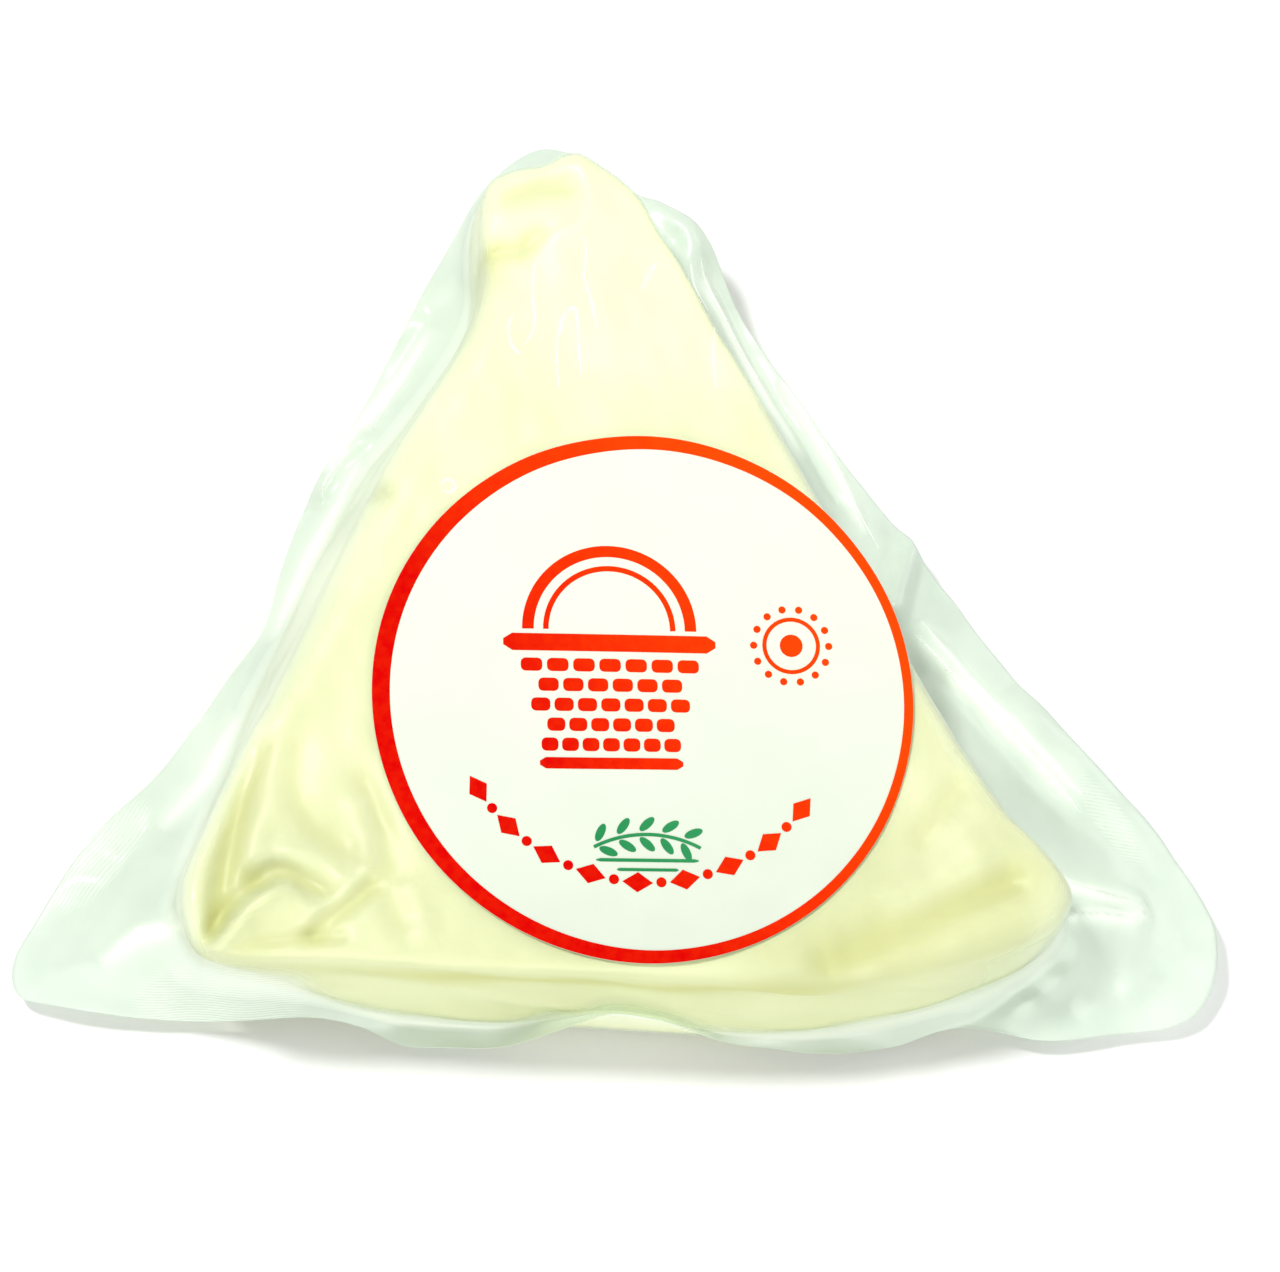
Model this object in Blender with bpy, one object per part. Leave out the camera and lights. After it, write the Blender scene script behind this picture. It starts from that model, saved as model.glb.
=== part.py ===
"""A wedge of soft goat basket cheese in clear vacuum film, with a round paper label on its face.

The wedge lies on its flat back. +Z is up, +Y runs to the wedge's point and -Y to its rind. The
origin is on the back, straight below the centre of the label. Sizes here are in millimetres, and
MM turns them into Blender's metres.
"""

import math

import bmesh
import bpy
import numpy as np

MM = 0.001

# The wedge of cheese, seen from above: points on its soft outline, which a smooth curve joins
HEIGHT = 38.0
OUTLINE = (
    # The left corner, the rind side and the right corner
    (-66.8, -33.8), (-63.5, -38.4), (-55.0, -39.5), (-29.0, -40.7), (-7.0, -41.5), (16.0, -42.4),
    (36.0, -41.0), (53.0, -37.0), (62.6, -31.6), (63.8, -27.0), (54.8, -16.6),
    # The right side, and the point with its squeezed-out knob
    (46.2, -2.8), (31.4, 25.0), (18.4, 47.4), (5.0, 69.2), (-1.6, 79.8), (-9.6, 84.4),
    (-19.4, 81.0), (-22.6, 75.0), (-22.4, 66.0),
    # The left side
    (-26.8, 53.6), (-40.0, 31.0), (-53.4, 2.0), (-64.4, -21.0),
)

# The wedge's sides, by degrees round the label's centre: how far they spread towards the back,
# how round their top edge is, and how far the back draws in below them
WALL_SPREAD = (
    (0, 2.0), (60, 2.0), (97, 1.5), (108, 1.5), (125, 4.0), (150, 5.5), (175, 5.0), (190, 2.5),
    (205, 1.0), (225, 0.8), (270, 1.0), (320, 1.4), (340, 2.0),
)
TOP_ROUND = (
    (0, 5.0), (60, 5.0), (90, 4.5), (109, 7.0), (150, 6.0), (190, 5.0), (203, 4.0), (212, 2.6),
    (230, 2.2), (262, 2.4), (282, 4.5), (300, 7.5), (318, 9.5), (332, 7.5), (345, 5.5),
)
BACK_INSET = (
    (0, 5), (97, 5), (185, 5), (196, 9), (204, 15), (210, 16), (215, 14), (220, 10), (225, 7),
    (233, 5), (300, 5), (330, 7),
)
BACK_ROUND = (
    (0, 3), (97, 4), (185, 3), (196, 7), (204, 16), (210, 17), (215, 15), (220, 9), (225, 5),
    (233, 3), (300, 3), (330, 5),
)

# The film: two sheets sealed together all round the wedge, drawn thicker than the real 0.2 mm
FILM_THICKNESS = 0.8
LEAST_SKIRT = 1.6
LEAST_RIM_HEIGHT = 1.4

# The skirt's edge: its reach from the label's centre by degrees. Its waves come from these points.
RIM_REACH = (
    (2, 71.6), (13, 63.0), (26, 58.2), (38, 57.5), (54, 59.1), (63, 63.0), (70, 68.2), (75, 73.8),
    (79, 80.6), (81, 83.2), (88, 88.2), (92, 91.8), (96, 94.6), (99, 93.8), (103, 89.8),
    (108, 82.6), (117, 72.2), (127, 65.2), (140, 60.9), (151, 58.2), (161, 56.7), (168, 59.0),
    (176, 63.2), (184, 70.3), (190, 80.0), (197, 91.2), (200, 96.4), (203, 97.6), (205, 94.0),
    (210, 83.0), (215, 72.6), (221, 62.4), (227, 57.6), (235, 55.2), (241, 51.9), (255, 46.4),
    (266, 43.4), (278, 43.8), (296, 49.9), (306, 56.6), (314, 61.8), (322, 67.8), (326, 78.5),
    (331, 88.0), (335, 96.8), (338, 98.8), (342, 97.9), (345, 95.8), (351, 86.8), (356, 79.0),
)

# The height at which the skirt leaves the wedge, and the height of its edge, both by degrees
ROOT_HEIGHT = (
    (0, 17), (30, 16), (60, 18), (80, 23), (97, 25), (112, 20), (140, 16), (175, 15), (190, 17),
    (199, 22), (205, 29), (209, 31), (213, 30), (217, 24), (221, 15), (226, 8), (233, 5),
    (270, 4), (300, 4.5), (318, 7), (330, 12), (339, 20), (346, 21),
)
RIM_HEIGHT = (
    (0, 6), (35, 10), (70, 14), (97, 18), (120, 13), (150, 9), (180, 6), (200, 3.5), (215, 2.2),
    (240, 2), (249, 2.5), (257, 4), (266, 6), (277, 5), (288, 3), (296, 2.4), (320, 2.2),
    (338, 3),
)
SKIRT_SAG = 1.35
PLEAT_ANGLE = 341.0
PLEAT_HALF_ANGLE = 3.0
PLEAT_START = 0.05
PLEAT_END = 0.7
PLEAT_RISE = 4.0

# Folds pressed into the face, as (height, half width, points along the fold)
FOLDS = (
    (-2.4, 3.4, ((-58.7, -28.9), (-57, -20.5), (-52, -10.7))),
    (-2.0, 3.0, ((-57.4, -26.4), (-50.3, -26.3), (-45.4, -29.6))),
    (2.0, 2.6, ((-62.8, -40), (-58.2, -33), (-51.2, -27))),
    (-2.0, 3.4, ((-41.8, -11.5), (-37.8, -24.5), (-38.4, -30.5))),
    (-2.8, 3.6, ((55, -23), (39, -32.5), (18, -38.8))),
    (-4.0, 3.4, ((-29, 61), (-19, 69.1), (-14.3, 72))),
    (1.2, 4.0, ((-20, 76), (-12, 79))),
)

# The label: an 80 mm round of paper
LABEL_RADIUS = 40.0
LABEL_THICKNESS = 0.3
LABEL_GAP = 0.3
LABEL_SIDES = 96

OUTLINE_STEPS = 600
RAYS = 128
ROUND_STEPS = 3
SKIRT_STEPS = 4
FACE_STEPS = (0.94, 0.87, 0.79, 0.7, 0.58, 0.4, 0.2)
SHARP_DEGREES = 65

CHEESE_COLOUR = (0.93, 0.90, 0.62, 1)
LABEL_COLOUR = (0.94, 0.94, 0.88, 1)


def smooth_loop(points, steps):
    """Even points on a smooth closed curve through the given ones."""
    keys = np.array(points + points[:1], float)
    walked = np.concatenate([[0], np.cumsum(np.linalg.norm(np.diff(keys, axis=0), axis=1))])
    ends = np.vstack([keys[-2], keys, keys[1]])
    at = np.concatenate([[walked[-2] - walked[-1]], walked, [walked[-1] + walked[1]]])
    slope = (ends[2:] - ends[:-2]) / (at[2:] - at[:-2])[:, None]
    target = np.linspace(0, walked[-1], steps, endpoint=False)
    k = np.searchsorted(walked, target, side="right") - 1
    span = (walked[k + 1] - walked[k])[:, None]
    t = (target - walked[k])[:, None] / span
    return ((2 * t**3 - 3 * t**2 + 1) * keys[k] + (t**3 - 2 * t**2 + t) * span * slope[k]
            + (3 * t**2 - 2 * t**3) * keys[k + 1] + (t**3 - t**2) * span * slope[k + 1])


def even_rays(outline, count):
    """Angles whose rays meet the outline at even steps, and the reach of each."""
    closed = np.vstack([outline, outline[:1]])
    walked = np.concatenate([[0], np.cumsum(np.linalg.norm(np.diff(closed, axis=0), axis=1))])
    steps = np.arange(count) * walked[-1] / count
    x = np.interp(steps, walked, closed[:, 0])
    y = np.interp(steps, walked, closed[:, 1])
    return np.arctan2(y, x), np.hypot(x, y)


def round_table(table, angles):
    """Values between a table's (degrees, value) points, by a smooth curve that closes on itself."""
    keys = np.array(table, float)
    at = np.concatenate([keys[-2:, 0] - 360, keys[:, 0], keys[:3, 0] + 360])
    value = np.concatenate([keys[-2:, 1], keys[:, 1], keys[:3, 1]])
    slope = (value[2:] - value[:-2]) / (at[2:] - at[:-2])
    degrees = np.degrees(angles) % 360
    k = np.clip(np.searchsorted(at, degrees, side="right") - 1, 1, len(at) - 3)
    span = at[k + 1] - at[k]
    t = (degrees - at[k]) / span
    return ((2 * t**3 - 3 * t**2 + 1) * value[k] + (t**3 - 2 * t**2 + t) * span * slope[k - 1]
            + (3 * t**2 - 2 * t**3) * value[k + 1] + (t**3 - t**2) * span * slope[k])


def distance_to_path(x, y, path):
    """How far each point (x, y) lies from a path of straight runs."""
    nearest = np.full(np.shape(x), np.inf)
    for (x0, y0), (x1, y1) in zip(path, path[1:]):
        run = (x1 - x0) ** 2 + (y1 - y0) ** 2
        share = np.clip(((x - x0) * (x1 - x0) + (y - y0) * (y1 - y0)) / run, 0, 1)
        gap = np.hypot(x - x0 - share * (x1 - x0), y - y0 - share * (y1 - y0))
        nearest = np.minimum(nearest, gap)
    return nearest


def fold_height(x, y):
    """The folds' height at each point. They fade out under the label, where the face is flat."""
    height = sum(rise * np.exp(-((distance_to_path(x, y, path) / half_width) ** 2))
                 for rise, half_width, path in FOLDS)
    return height * np.clip((np.hypot(x, y) - LABEL_RADIUS) / 3, 0, 1)


def ring_points(angles, reach, height):
    return np.stack([reach * np.cos(angles), reach * np.sin(angles), height], axis=1)


def skirt_rings(angles, wall, side):
    """The rings of the skirt's upper face (side 1) or under face (side -1), from wall to edge."""
    rim = np.maximum(round_table(RIM_REACH, angles), wall + LEAST_SKIRT)
    root_height = round_table(ROOT_HEIGHT, angles)
    rim_height = round_table(RIM_HEIGHT, angles)
    from_pleat = (np.degrees(angles) - PLEAT_ANGLE + 180) % 360 - 180
    pleat = PLEAT_RISE * np.exp(-((from_pleat / PLEAT_HALF_ANGLE) ** 2))
    rings = []
    for share in np.linspace(0, 1, SKIRT_STEPS + 1):
        height = rim_height + (root_height - rim_height) * (1 - share) ** SKIRT_SAG
        if PLEAT_START < share < PLEAT_END:
            height = height + pleat
        height = np.maximum(height, LEAST_RIM_HEIGHT) + side * FILM_THICKNESS / 2
        rings.append(ring_points(angles, wall + share * (rim - wall), height))
    return rings


def pack_rings():
    """Every ring of the pack's surface, from the middle of its back to the middle of its face."""
    angles, edge = even_rays(smooth_loop(OUTLINE, OUTLINE_STEPS), RAYS)
    root_height = round_table(ROOT_HEIGHT, angles)
    top_round = round_table(TOP_ROUND, angles)
    back_inset = round_table(BACK_INSET, angles)
    wall = edge + round_table(WALL_SPREAD, angles) * (1 - root_height / HEIGHT)

    rings = [ring_points(angles, wall - back_inset, np.zeros(RAYS))]
    low = np.minimum(round_table(BACK_ROUND, angles), root_height - FILM_THICKNESS) * 0.6
    rings.append(ring_points(angles, wall - back_inset * 0.25, low))
    rings += skirt_rings(angles, wall, -1)
    rings += skirt_rings(angles, wall, 1)[::-1]
    rings.append(ring_points(angles, edge, HEIGHT - top_round))
    for step in range(1, ROUND_STEPS + 1):
        turn = step / ROUND_STEPS * math.pi / 2
        reach = edge - top_round * (1 - math.cos(turn))
        height = HEIGHT - top_round * (1 - math.sin(turn))
        x, y = reach * np.cos(angles), reach * np.sin(angles)
        rings.append(ring_points(angles, reach, height + fold_height(x, y) * math.sin(turn)))
    for share in FACE_STEPS:
        reach = (edge - top_round) * share
        x, y = reach * np.cos(angles), reach * np.sin(angles)
        rings.append(ring_points(angles, reach, HEIGHT + fold_height(x, y)))
    return rings


def material(name, colour, roughness):
    made = bpy.data.materials.new(name)
    made.use_nodes = True
    shader = made.node_tree.nodes["Principled BSDF"]
    shader.inputs["Base Color"].default_value = colour
    shader.inputs["Roughness"].default_value = roughness
    shader.inputs["Metallic"].default_value = 0
    return made


def finished_object(name, mesh_data, surface):
    """Turns a bmesh into an object of the scene, with its faces outwards and round parts smooth."""
    bmesh.ops.recalc_face_normals(mesh_data, faces=mesh_data.faces)
    mesh = bpy.data.meshes.new(name)
    mesh_data.to_mesh(mesh)
    mesh_data.free()
    mesh.materials.append(surface)
    mesh.shade_smooth()
    mesh.set_sharp_from_angle(angle=math.radians(SHARP_DEGREES))
    made = bpy.data.objects.new(name, mesh)
    bpy.context.scene.collection.objects.link(made)
    return made


def build_vacuum_pack():
    """The wedge and the film round it: rings joined by quads, and each end closed by a fan."""
    shape = bmesh.new()
    rings = [[shape.verts.new(point * MM) for point in ring] for ring in pack_rings()]
    for inner, outer in zip(rings, rings[1:]):
        for k in range(RAYS):
            following = (k + 1) % RAYS
            shape.faces.new((inner[k], inner[following], outer[following], outer[k]))
    for ring, height in ((rings[0], 0), (rings[-1], HEIGHT)):
        middle = shape.verts.new((0, 0, height * MM))
        for k in range(RAYS):
            shape.faces.new((middle, ring[k], ring[(k + 1) % RAYS]))
    return finished_object("vacuum_pack", shape, material("packed_cheese", CHEESE_COLOUR, 0.2))


def build_label():
    """The round paper label, just clear of the face it is stuck to."""
    shape = bmesh.new()
    bmesh.ops.create_cone(shape, cap_ends=True, segments=LABEL_SIDES, radius1=LABEL_RADIUS * MM,
                          radius2=LABEL_RADIUS * MM, depth=LABEL_THICKNESS * MM)
    made = finished_object("label", shape, material("label_paper", LABEL_COLOUR, 0.55))
    made.location.z = (HEIGHT + LABEL_GAP + LABEL_THICKNESS / 2) * MM
    return made


def main():
    for leftover in list(bpy.data.objects):
        bpy.data.objects.remove(leftover)
    build_vacuum_pack()
    build_label()


main()
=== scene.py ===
# %% [markdown]
# # A vacuum-packed wedge of goat basket cheese
#
# This lesson builds the looks of one small food pack: a wedge of soft white cheese in clear
# vacuum film, with a round paper label. The solids for its weight and its collisions exist
# already, and the first step loads them as a fixed frame. Everything here is placed in that
# frame, in metres, with +Z up and +Y running to the wedge's point.

import math

import bpy
import numpy as np
from mathutils import Matrix, Vector
from mathutils.bvhtree import BVHTree


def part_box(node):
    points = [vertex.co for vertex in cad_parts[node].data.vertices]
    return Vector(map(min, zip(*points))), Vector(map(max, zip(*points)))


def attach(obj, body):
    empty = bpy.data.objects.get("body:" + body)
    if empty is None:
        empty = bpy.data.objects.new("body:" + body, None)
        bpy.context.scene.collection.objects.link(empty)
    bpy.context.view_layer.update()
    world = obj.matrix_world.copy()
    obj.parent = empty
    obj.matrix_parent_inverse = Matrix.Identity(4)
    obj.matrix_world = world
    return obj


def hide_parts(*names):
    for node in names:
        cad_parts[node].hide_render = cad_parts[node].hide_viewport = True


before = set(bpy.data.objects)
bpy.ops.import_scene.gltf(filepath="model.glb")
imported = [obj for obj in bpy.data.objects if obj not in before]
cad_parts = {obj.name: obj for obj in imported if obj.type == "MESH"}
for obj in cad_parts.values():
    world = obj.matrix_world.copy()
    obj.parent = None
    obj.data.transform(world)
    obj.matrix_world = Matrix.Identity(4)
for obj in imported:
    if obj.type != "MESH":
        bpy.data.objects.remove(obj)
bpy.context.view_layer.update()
MM = 0.001
FACE_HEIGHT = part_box("vacuum_pack")[1].z / MM
LABEL_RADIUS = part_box("label")[1].x / MM

# %% [markdown]
# ## Small helpers
#
# An operator works on whatever is selected, and loading the frame left its nodes selected. So
# every step starts by deselecting everything, and then picks what it needs in code.

# %% Selection helpers
def only(*chosen):
    """Selects these objects and nothing else, and makes the first one active."""
    if bpy.context.object and bpy.context.object.mode != "OBJECT":
        bpy.ops.object.mode_set(mode="OBJECT")
    bpy.ops.object.select_all(action="DESELECT")
    for piece in chosen:
        piece.select_set(True)
    bpy.context.view_layer.objects.active = chosen[0]


def named(name):
    """The object that an operator has just added, under its own name."""
    piece = bpy.context.object
    piece.name = name
    piece.data.name = name
    return piece


def joined(name, pieces):
    """Joins several pieces into one, with its place kept in its mesh."""
    only(*pieces)
    bpy.ops.object.transform_apply(location=True, rotation=True, scale=True)
    bpy.ops.object.join()
    return named(name)


# %% [markdown]
# ## The wedge's outline
#
# Seen from above, the wedge is a triangle with soft corners. Its rind side bows out, its right
# side has a shallow hollow, and its point carries a knob that the vacuum has squeezed out. A few
# dozen points hold all that, with a smooth closed curve through them. Rays from the label's
# centre then meet the curve at even steps, and they carry every mesh of the pack, so that its
# edge loops run along the wedge's edges as a modeller would lay them.

# %% Outline of the wedge
OUTLINE = (
    # The left corner and the rind side
    (-66.8, -33.8), (-64.2, -37.9), (-58.5, -39.4), (-46.0, -39.6), (-29.0, -40.7),
    (-7.0, -41.5), (16.0, -42.4), (33.0, -41.4), (46.0, -39.0), (56.0, -35.8),
    # The right corner and the right side with its hollow
    (62.2, -32.2), (64.4, -27.8), (60.6, -22.4), (54.8, -16.6), (50.2, -9.6), (46.2, -2.8),
    (42.2, 4.2), (36.8, 15.0), (31.4, 25.0), (25.0, 36.8), (19.2, 47.4), (12.6, 58.2), (7.0, 68.6),
    # The point with its knob
    (3.8, 73.8), (1.2, 78.6), (-2.2, 82.0), (-5.6, 84.4), (-9.0, 85.8), (-13.4, 83.8),
    (-18.6, 82.6), (-21.8, 80.6), (-22.8, 76.0), (-22.8, 70.0), (-22.6, 65.0), (-23.6, 60.2),
    # The left side
    (-26.8, 53.6), (-31.2, 46.4), (-36.0, 38.6), (-40.0, 31.0), (-43.2, 24.0), (-47.8, 14.0),
    (-53.4, 2.0), (-60.0, -11.0), (-64.4, -21.0), (-67.2, -28.6),
)
OUTLINE_STEPS = 900
RAYS = 560


def smooth_path(points, steps, closed=False):
    """Even points on a smooth curve through a few chosen ones."""
    keys = np.array(points, float)
    if closed:
        keys = np.vstack([keys, keys[:1]])
    walked = np.concatenate([[0], np.cumsum(np.linalg.norm(np.diff(keys, axis=0), axis=1))])
    before = keys[-2] if closed else 2 * keys[0] - keys[1]
    after = keys[1] if closed else 2 * keys[-1] - keys[-2]
    first = walked[-2] - walked[-1] if closed else -walked[1]
    last = walked[-1] + walked[1] if closed else 2 * walked[-1] - walked[-2]
    ends = np.vstack([before, keys, after])
    at = np.concatenate([[first], walked, [last]])
    slope = (ends[2:] - ends[:-2]) / (at[2:] - at[:-2])[:, None]
    target = np.linspace(0, walked[-1], steps, endpoint=not closed)
    k = np.clip(np.searchsorted(walked, target, side="right") - 1, 0, len(keys) - 2)
    span = (walked[k + 1] - walked[k])[:, None]
    t = (target - walked[k])[:, None] / span
    return ((2 * t**3 - 3 * t**2 + 1) * keys[k] + (t**3 - 2 * t**2 + t) * span * slope[k]
            + (3 * t**2 - 2 * t**3) * keys[k + 1] + (t**3 - t**2) * span * slope[k + 1])


def even_rays(outline, count):
    """Angles whose rays meet the outline at even steps, and the reach of each."""
    closed = np.vstack([outline, outline[:1]])
    walked = np.concatenate([[0], np.cumsum(np.linalg.norm(np.diff(closed, axis=0), axis=1))])
    steps = np.arange(count) * walked[-1] / count
    x = np.interp(steps, walked, closed[:, 0])
    y = np.interp(steps, walked, closed[:, 1])
    return np.arctan2(y, x), np.hypot(x, y), steps


ANGLES, EDGE, WALKED = even_rays(smooth_path(OUTLINE, OUTLINE_STEPS, closed=True), RAYS)
DEGREES = np.degrees(ANGLES) % 360
GIRTH = WALKED[-1] + WALKED[1]
print("wedge outline:", RAYS, "rays, girth", round(GIRTH), "mm")

# %% [markdown]
# Nothing here is quite flat. Fourteen long waves in seeded random directions add up to a soft
# swell, for the paper, the paste and the film. A noise texture with a Displace modifier could do
# it too, but these waves can be read at any point, and the seed gives the same ones at every run.

# %% A soft random swell
WAVES = 14


def ripples(x, y, wavelength, seed):
    """A soft random swell of height about 1, the same at every run."""
    draw = np.random.default_rng(seed)
    turn = draw.uniform(0, 2 * math.pi, WAVES)
    pitch = 2 * math.pi / (wavelength * draw.uniform(0.7, 1.5, WAVES))
    phase = draw.uniform(0, 2 * math.pi, WAVES)
    total = sum(np.sin(p * (x * math.cos(t) + y * math.sin(t)) + f)
                for t, p, f in zip(turn, pitch, phase))
    return total / math.sqrt(WAVES / 2)


print("swell at the origin:", round(float(ripples(0.0, 0.0, 34, seed=21)), 3))

# %% [markdown]
# ## The label
#
# The label is a round sticker of thin paper. It starts as a cylinder as thin as paper. Its caps
# are inset again and again, so that they have rings of points that can follow the face below.
# A cylinder is chosen over a disc with thickness added, because its rim is closed from the start.

# %% Paper of the label
PAPER = 0.14
LABEL_LIFT = 0.37
LABEL_FLOOR = FACE_HEIGHT + LABEL_LIFT
LABEL_SIDES = 240
LABEL_INSETS = 9
LABEL_INSET = 4.2


def label_swell(x, y):
    """The soft waves of the face that still show through the paper."""
    edge = np.clip(np.hypot(x, y) / LABEL_RADIUS, 0, 1) ** 6
    return 0.1 * ripples(x, y, 34, seed=21) + 0.12 * edge * ripples(x, y, 21, seed=22)


def follow_face(piece):
    """Moves every point of a flat piece up or down with the waves of the face."""
    for corner in piece.data.vertices:
        corner.co.z += float(label_swell(corner.co.x / MM, corner.co.y / MM)) * MM


bpy.ops.object.select_all(action="DESELECT")
bpy.ops.mesh.primitive_cylinder_add(vertices=LABEL_SIDES, radius=LABEL_RADIUS * MM,
                                    depth=PAPER * MM,
                                    location=(0, 0, (LABEL_FLOOR + PAPER / 2) * MM))
label = named("label_paper")
bpy.ops.object.mode_set(mode="EDIT")
bpy.ops.mesh.select_all(action="SELECT")
bpy.ops.mesh.select_mode(type="FACE")
bpy.ops.object.mode_set(mode="OBJECT")
for face in label.data.polygons:
    face.select = abs(face.normal.z) > 0.9
bpy.ops.object.mode_set(mode="EDIT")
for _ in range(LABEL_INSETS):
    bpy.ops.mesh.inset(thickness=LABEL_INSET * MM)
bpy.ops.object.mode_set(mode="OBJECT")
only(label)
bpy.ops.object.transform_apply(location=True)
follow_face(label)
bpy.ops.object.shade_smooth_by_angle(angle=math.radians(40))
print("label:", len(label.data.polygons), "faces")

# %% [markdown]
# ## The print
#
# The label carries a red rim and a plain picture of its own: a woven basket over a row of small
# diamonds, with a green sprig. Each printed field is a thin patch, cut from a primitive and laid
# on the paper. A patch keeps a crisp edge at any distance, which a painted mask would lose.

# %% Print helpers
PRINT = 0.03
PRINT_LIFT = 0.035
PRINT_HEIGHT = LABEL_FLOOR + PAPER + PRINT_LIFT
LINE_STEPS = 24
BLUNT_END = 0.35


def thickened(piece):
    """Gives a flat patch the thickness of the print, with its normals outwards."""
    only(piece)
    bpy.ops.object.mode_set(mode="EDIT")
    bpy.ops.mesh.select_all(action="SELECT")
    bpy.ops.mesh.extrude_region_move(TRANSFORM_OT_translate={"value": (0, 0, PRINT * MM)})
    bpy.ops.mesh.select_all(action="SELECT")
    bpy.ops.mesh.normals_make_consistent(inside=False)
    bpy.ops.object.mode_set(mode="OBJECT")
    return piece


def printed_box(x, y, width, height, corner):
    """A printed bar with its middle at (x, y), in millimetres, with corners this round."""
    bpy.ops.object.select_all(action="DESELECT")
    bpy.ops.mesh.primitive_cube_add(size=1)
    piece = bpy.context.object
    piece.scale = (width * MM, height * MM, PRINT * MM)
    bpy.ops.object.transform_apply(scale=True)
    bpy.ops.object.mode_set(mode="EDIT")
    bpy.ops.mesh.select_mode(type="EDGE")
    bpy.ops.mesh.select_all(action="DESELECT")
    bpy.ops.object.mode_set(mode="OBJECT")
    for edge in piece.data.edges:
        a, b = (piece.data.vertices[k].co for k in edge.vertices)
        edge.select = abs(a.z - b.z) > PRINT * MM / 2
    bpy.ops.object.mode_set(mode="EDIT")
    bpy.ops.mesh.bevel(offset=corner * MM, segments=3)
    bpy.ops.object.mode_set(mode="OBJECT")
    piece.location = (x * MM, y * MM, PRINT_HEIGHT * MM)
    return piece


def printed_line(start, end, width):
    """A printed straight bar with round ends, cut into steps so that it follows the paper."""
    bpy.ops.object.select_all(action="DESELECT")
    bpy.ops.mesh.primitive_grid_add(x_subdivisions=LINE_STEPS, y_subdivisions=2, size=2)
    piece = bpy.context.object
    length = math.dist(start, end)
    for corner in piece.data.vertices:
        from_end = min(1 + corner.co.x, 1 - corner.co.x) * length / 2
        cap = math.sqrt(max(0.0, 1 - max(0.0, 1 - from_end / (width / 2)) ** 2))
        corner.co.x *= length / 2 * MM
        corner.co.y *= width / 2 * max(cap, BLUNT_END) * MM
    thickened(piece)
    piece.rotation_euler.z = math.atan2(end[1] - start[1], end[0] - start[0])
    piece.location = ((start[0] + end[0]) / 2 * MM, (start[1] + end[1]) / 2 * MM,
                      PRINT_HEIGHT * MM)
    return piece


# %% [markdown]
# Dots, leaves and diamonds are thin cylinders, with four sides for a diamond. A ring, or a part of
# one, is a circle whose copy becomes its inner edge. A flattened torus would do as well, but it
# would have many more faces than a flat print needs.

# %% Round prints
def printed_disc(x, y, radius, sides, stretch=1.0, turn=0.0):
    """A printed round patch, or a diamond with four sides, stretched along its own length."""
    bpy.ops.object.select_all(action="DESELECT")
    bpy.ops.mesh.primitive_cylinder_add(vertices=sides, radius=radius * MM, depth=PRINT * MM)
    piece = bpy.context.object
    piece.scale.x = stretch
    piece.rotation_euler.z = turn
    piece.location = (x * MM, y * MM, PRINT_HEIGHT * MM)
    return piece


def printed_band(centre, inner, outer, first, last, steps, inner_centre=None):
    """A printed ring or a part of one, between two circles that may have different centres."""
    bpy.ops.object.select_all(action="DESELECT")
    inner_centre = inner_centre or centre
    closed = last - first >= 360
    count = steps if closed else steps + 1
    bpy.ops.mesh.primitive_circle_add(vertices=count, radius=1, fill_type="NOTHING")
    piece = bpy.context.object
    bpy.ops.object.mode_set(mode="EDIT")
    bpy.ops.mesh.select_all(action="SELECT")
    if not closed:
        bpy.ops.mesh.select_all(action="DESELECT")
        bpy.ops.object.mode_set(mode="OBJECT")
        for edge in piece.data.edges:
            edge.select = set(edge.vertices) == {0, count - 1}
        bpy.ops.object.mode_set(mode="EDIT")
        bpy.ops.mesh.delete(type="EDGE_FACE")
        bpy.ops.mesh.select_all(action="SELECT")
    bpy.ops.mesh.extrude_edges_move(TRANSFORM_OT_translate={"value": (0, 0, 0)})
    bpy.ops.object.mode_set(mode="OBJECT")
    turns = np.radians(first + (last - first) * np.arange(count) / steps)
    for k, corner in enumerate(piece.data.vertices):
        middle, reach = (centre, outer) if k < count else (inner_centre, inner)
        turn = turns[k % count]
        corner.co = ((middle[0] + reach * math.cos(turn)) * MM,
                     (middle[1] + reach * math.sin(turn)) * MM, PRINT_HEIGHT * MM)
    return thickened(piece)


# %% [markdown]
# The red ink goes on first. The rim is wider on the left than on the right, because a die that
# cuts labels from a printed roll is seldom quite centred, so its two circles have different
# middles. The basket is woven from short bars, as a wicker pattern is drawn.

# %% Red rim and basket
RIM_INNER = 38.0
RIM_SHIFT = (0.62, -0.05)
BASKET = (-5.0, 4.5)
BASKET_WIDTH = 27.0
BASKET_TAPER = 6.0
WEAVE_ROWS = 5
WEAVE_PITCH = 3.0
STRANDS = 7
STRAND_LENGTH = 0.82
STRAND_HEIGHT = 0.66
STRAND_CORNER = 0.7
HANDLE_ARCHES = ((11.2, 12.9), (9.0, 9.8))


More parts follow.
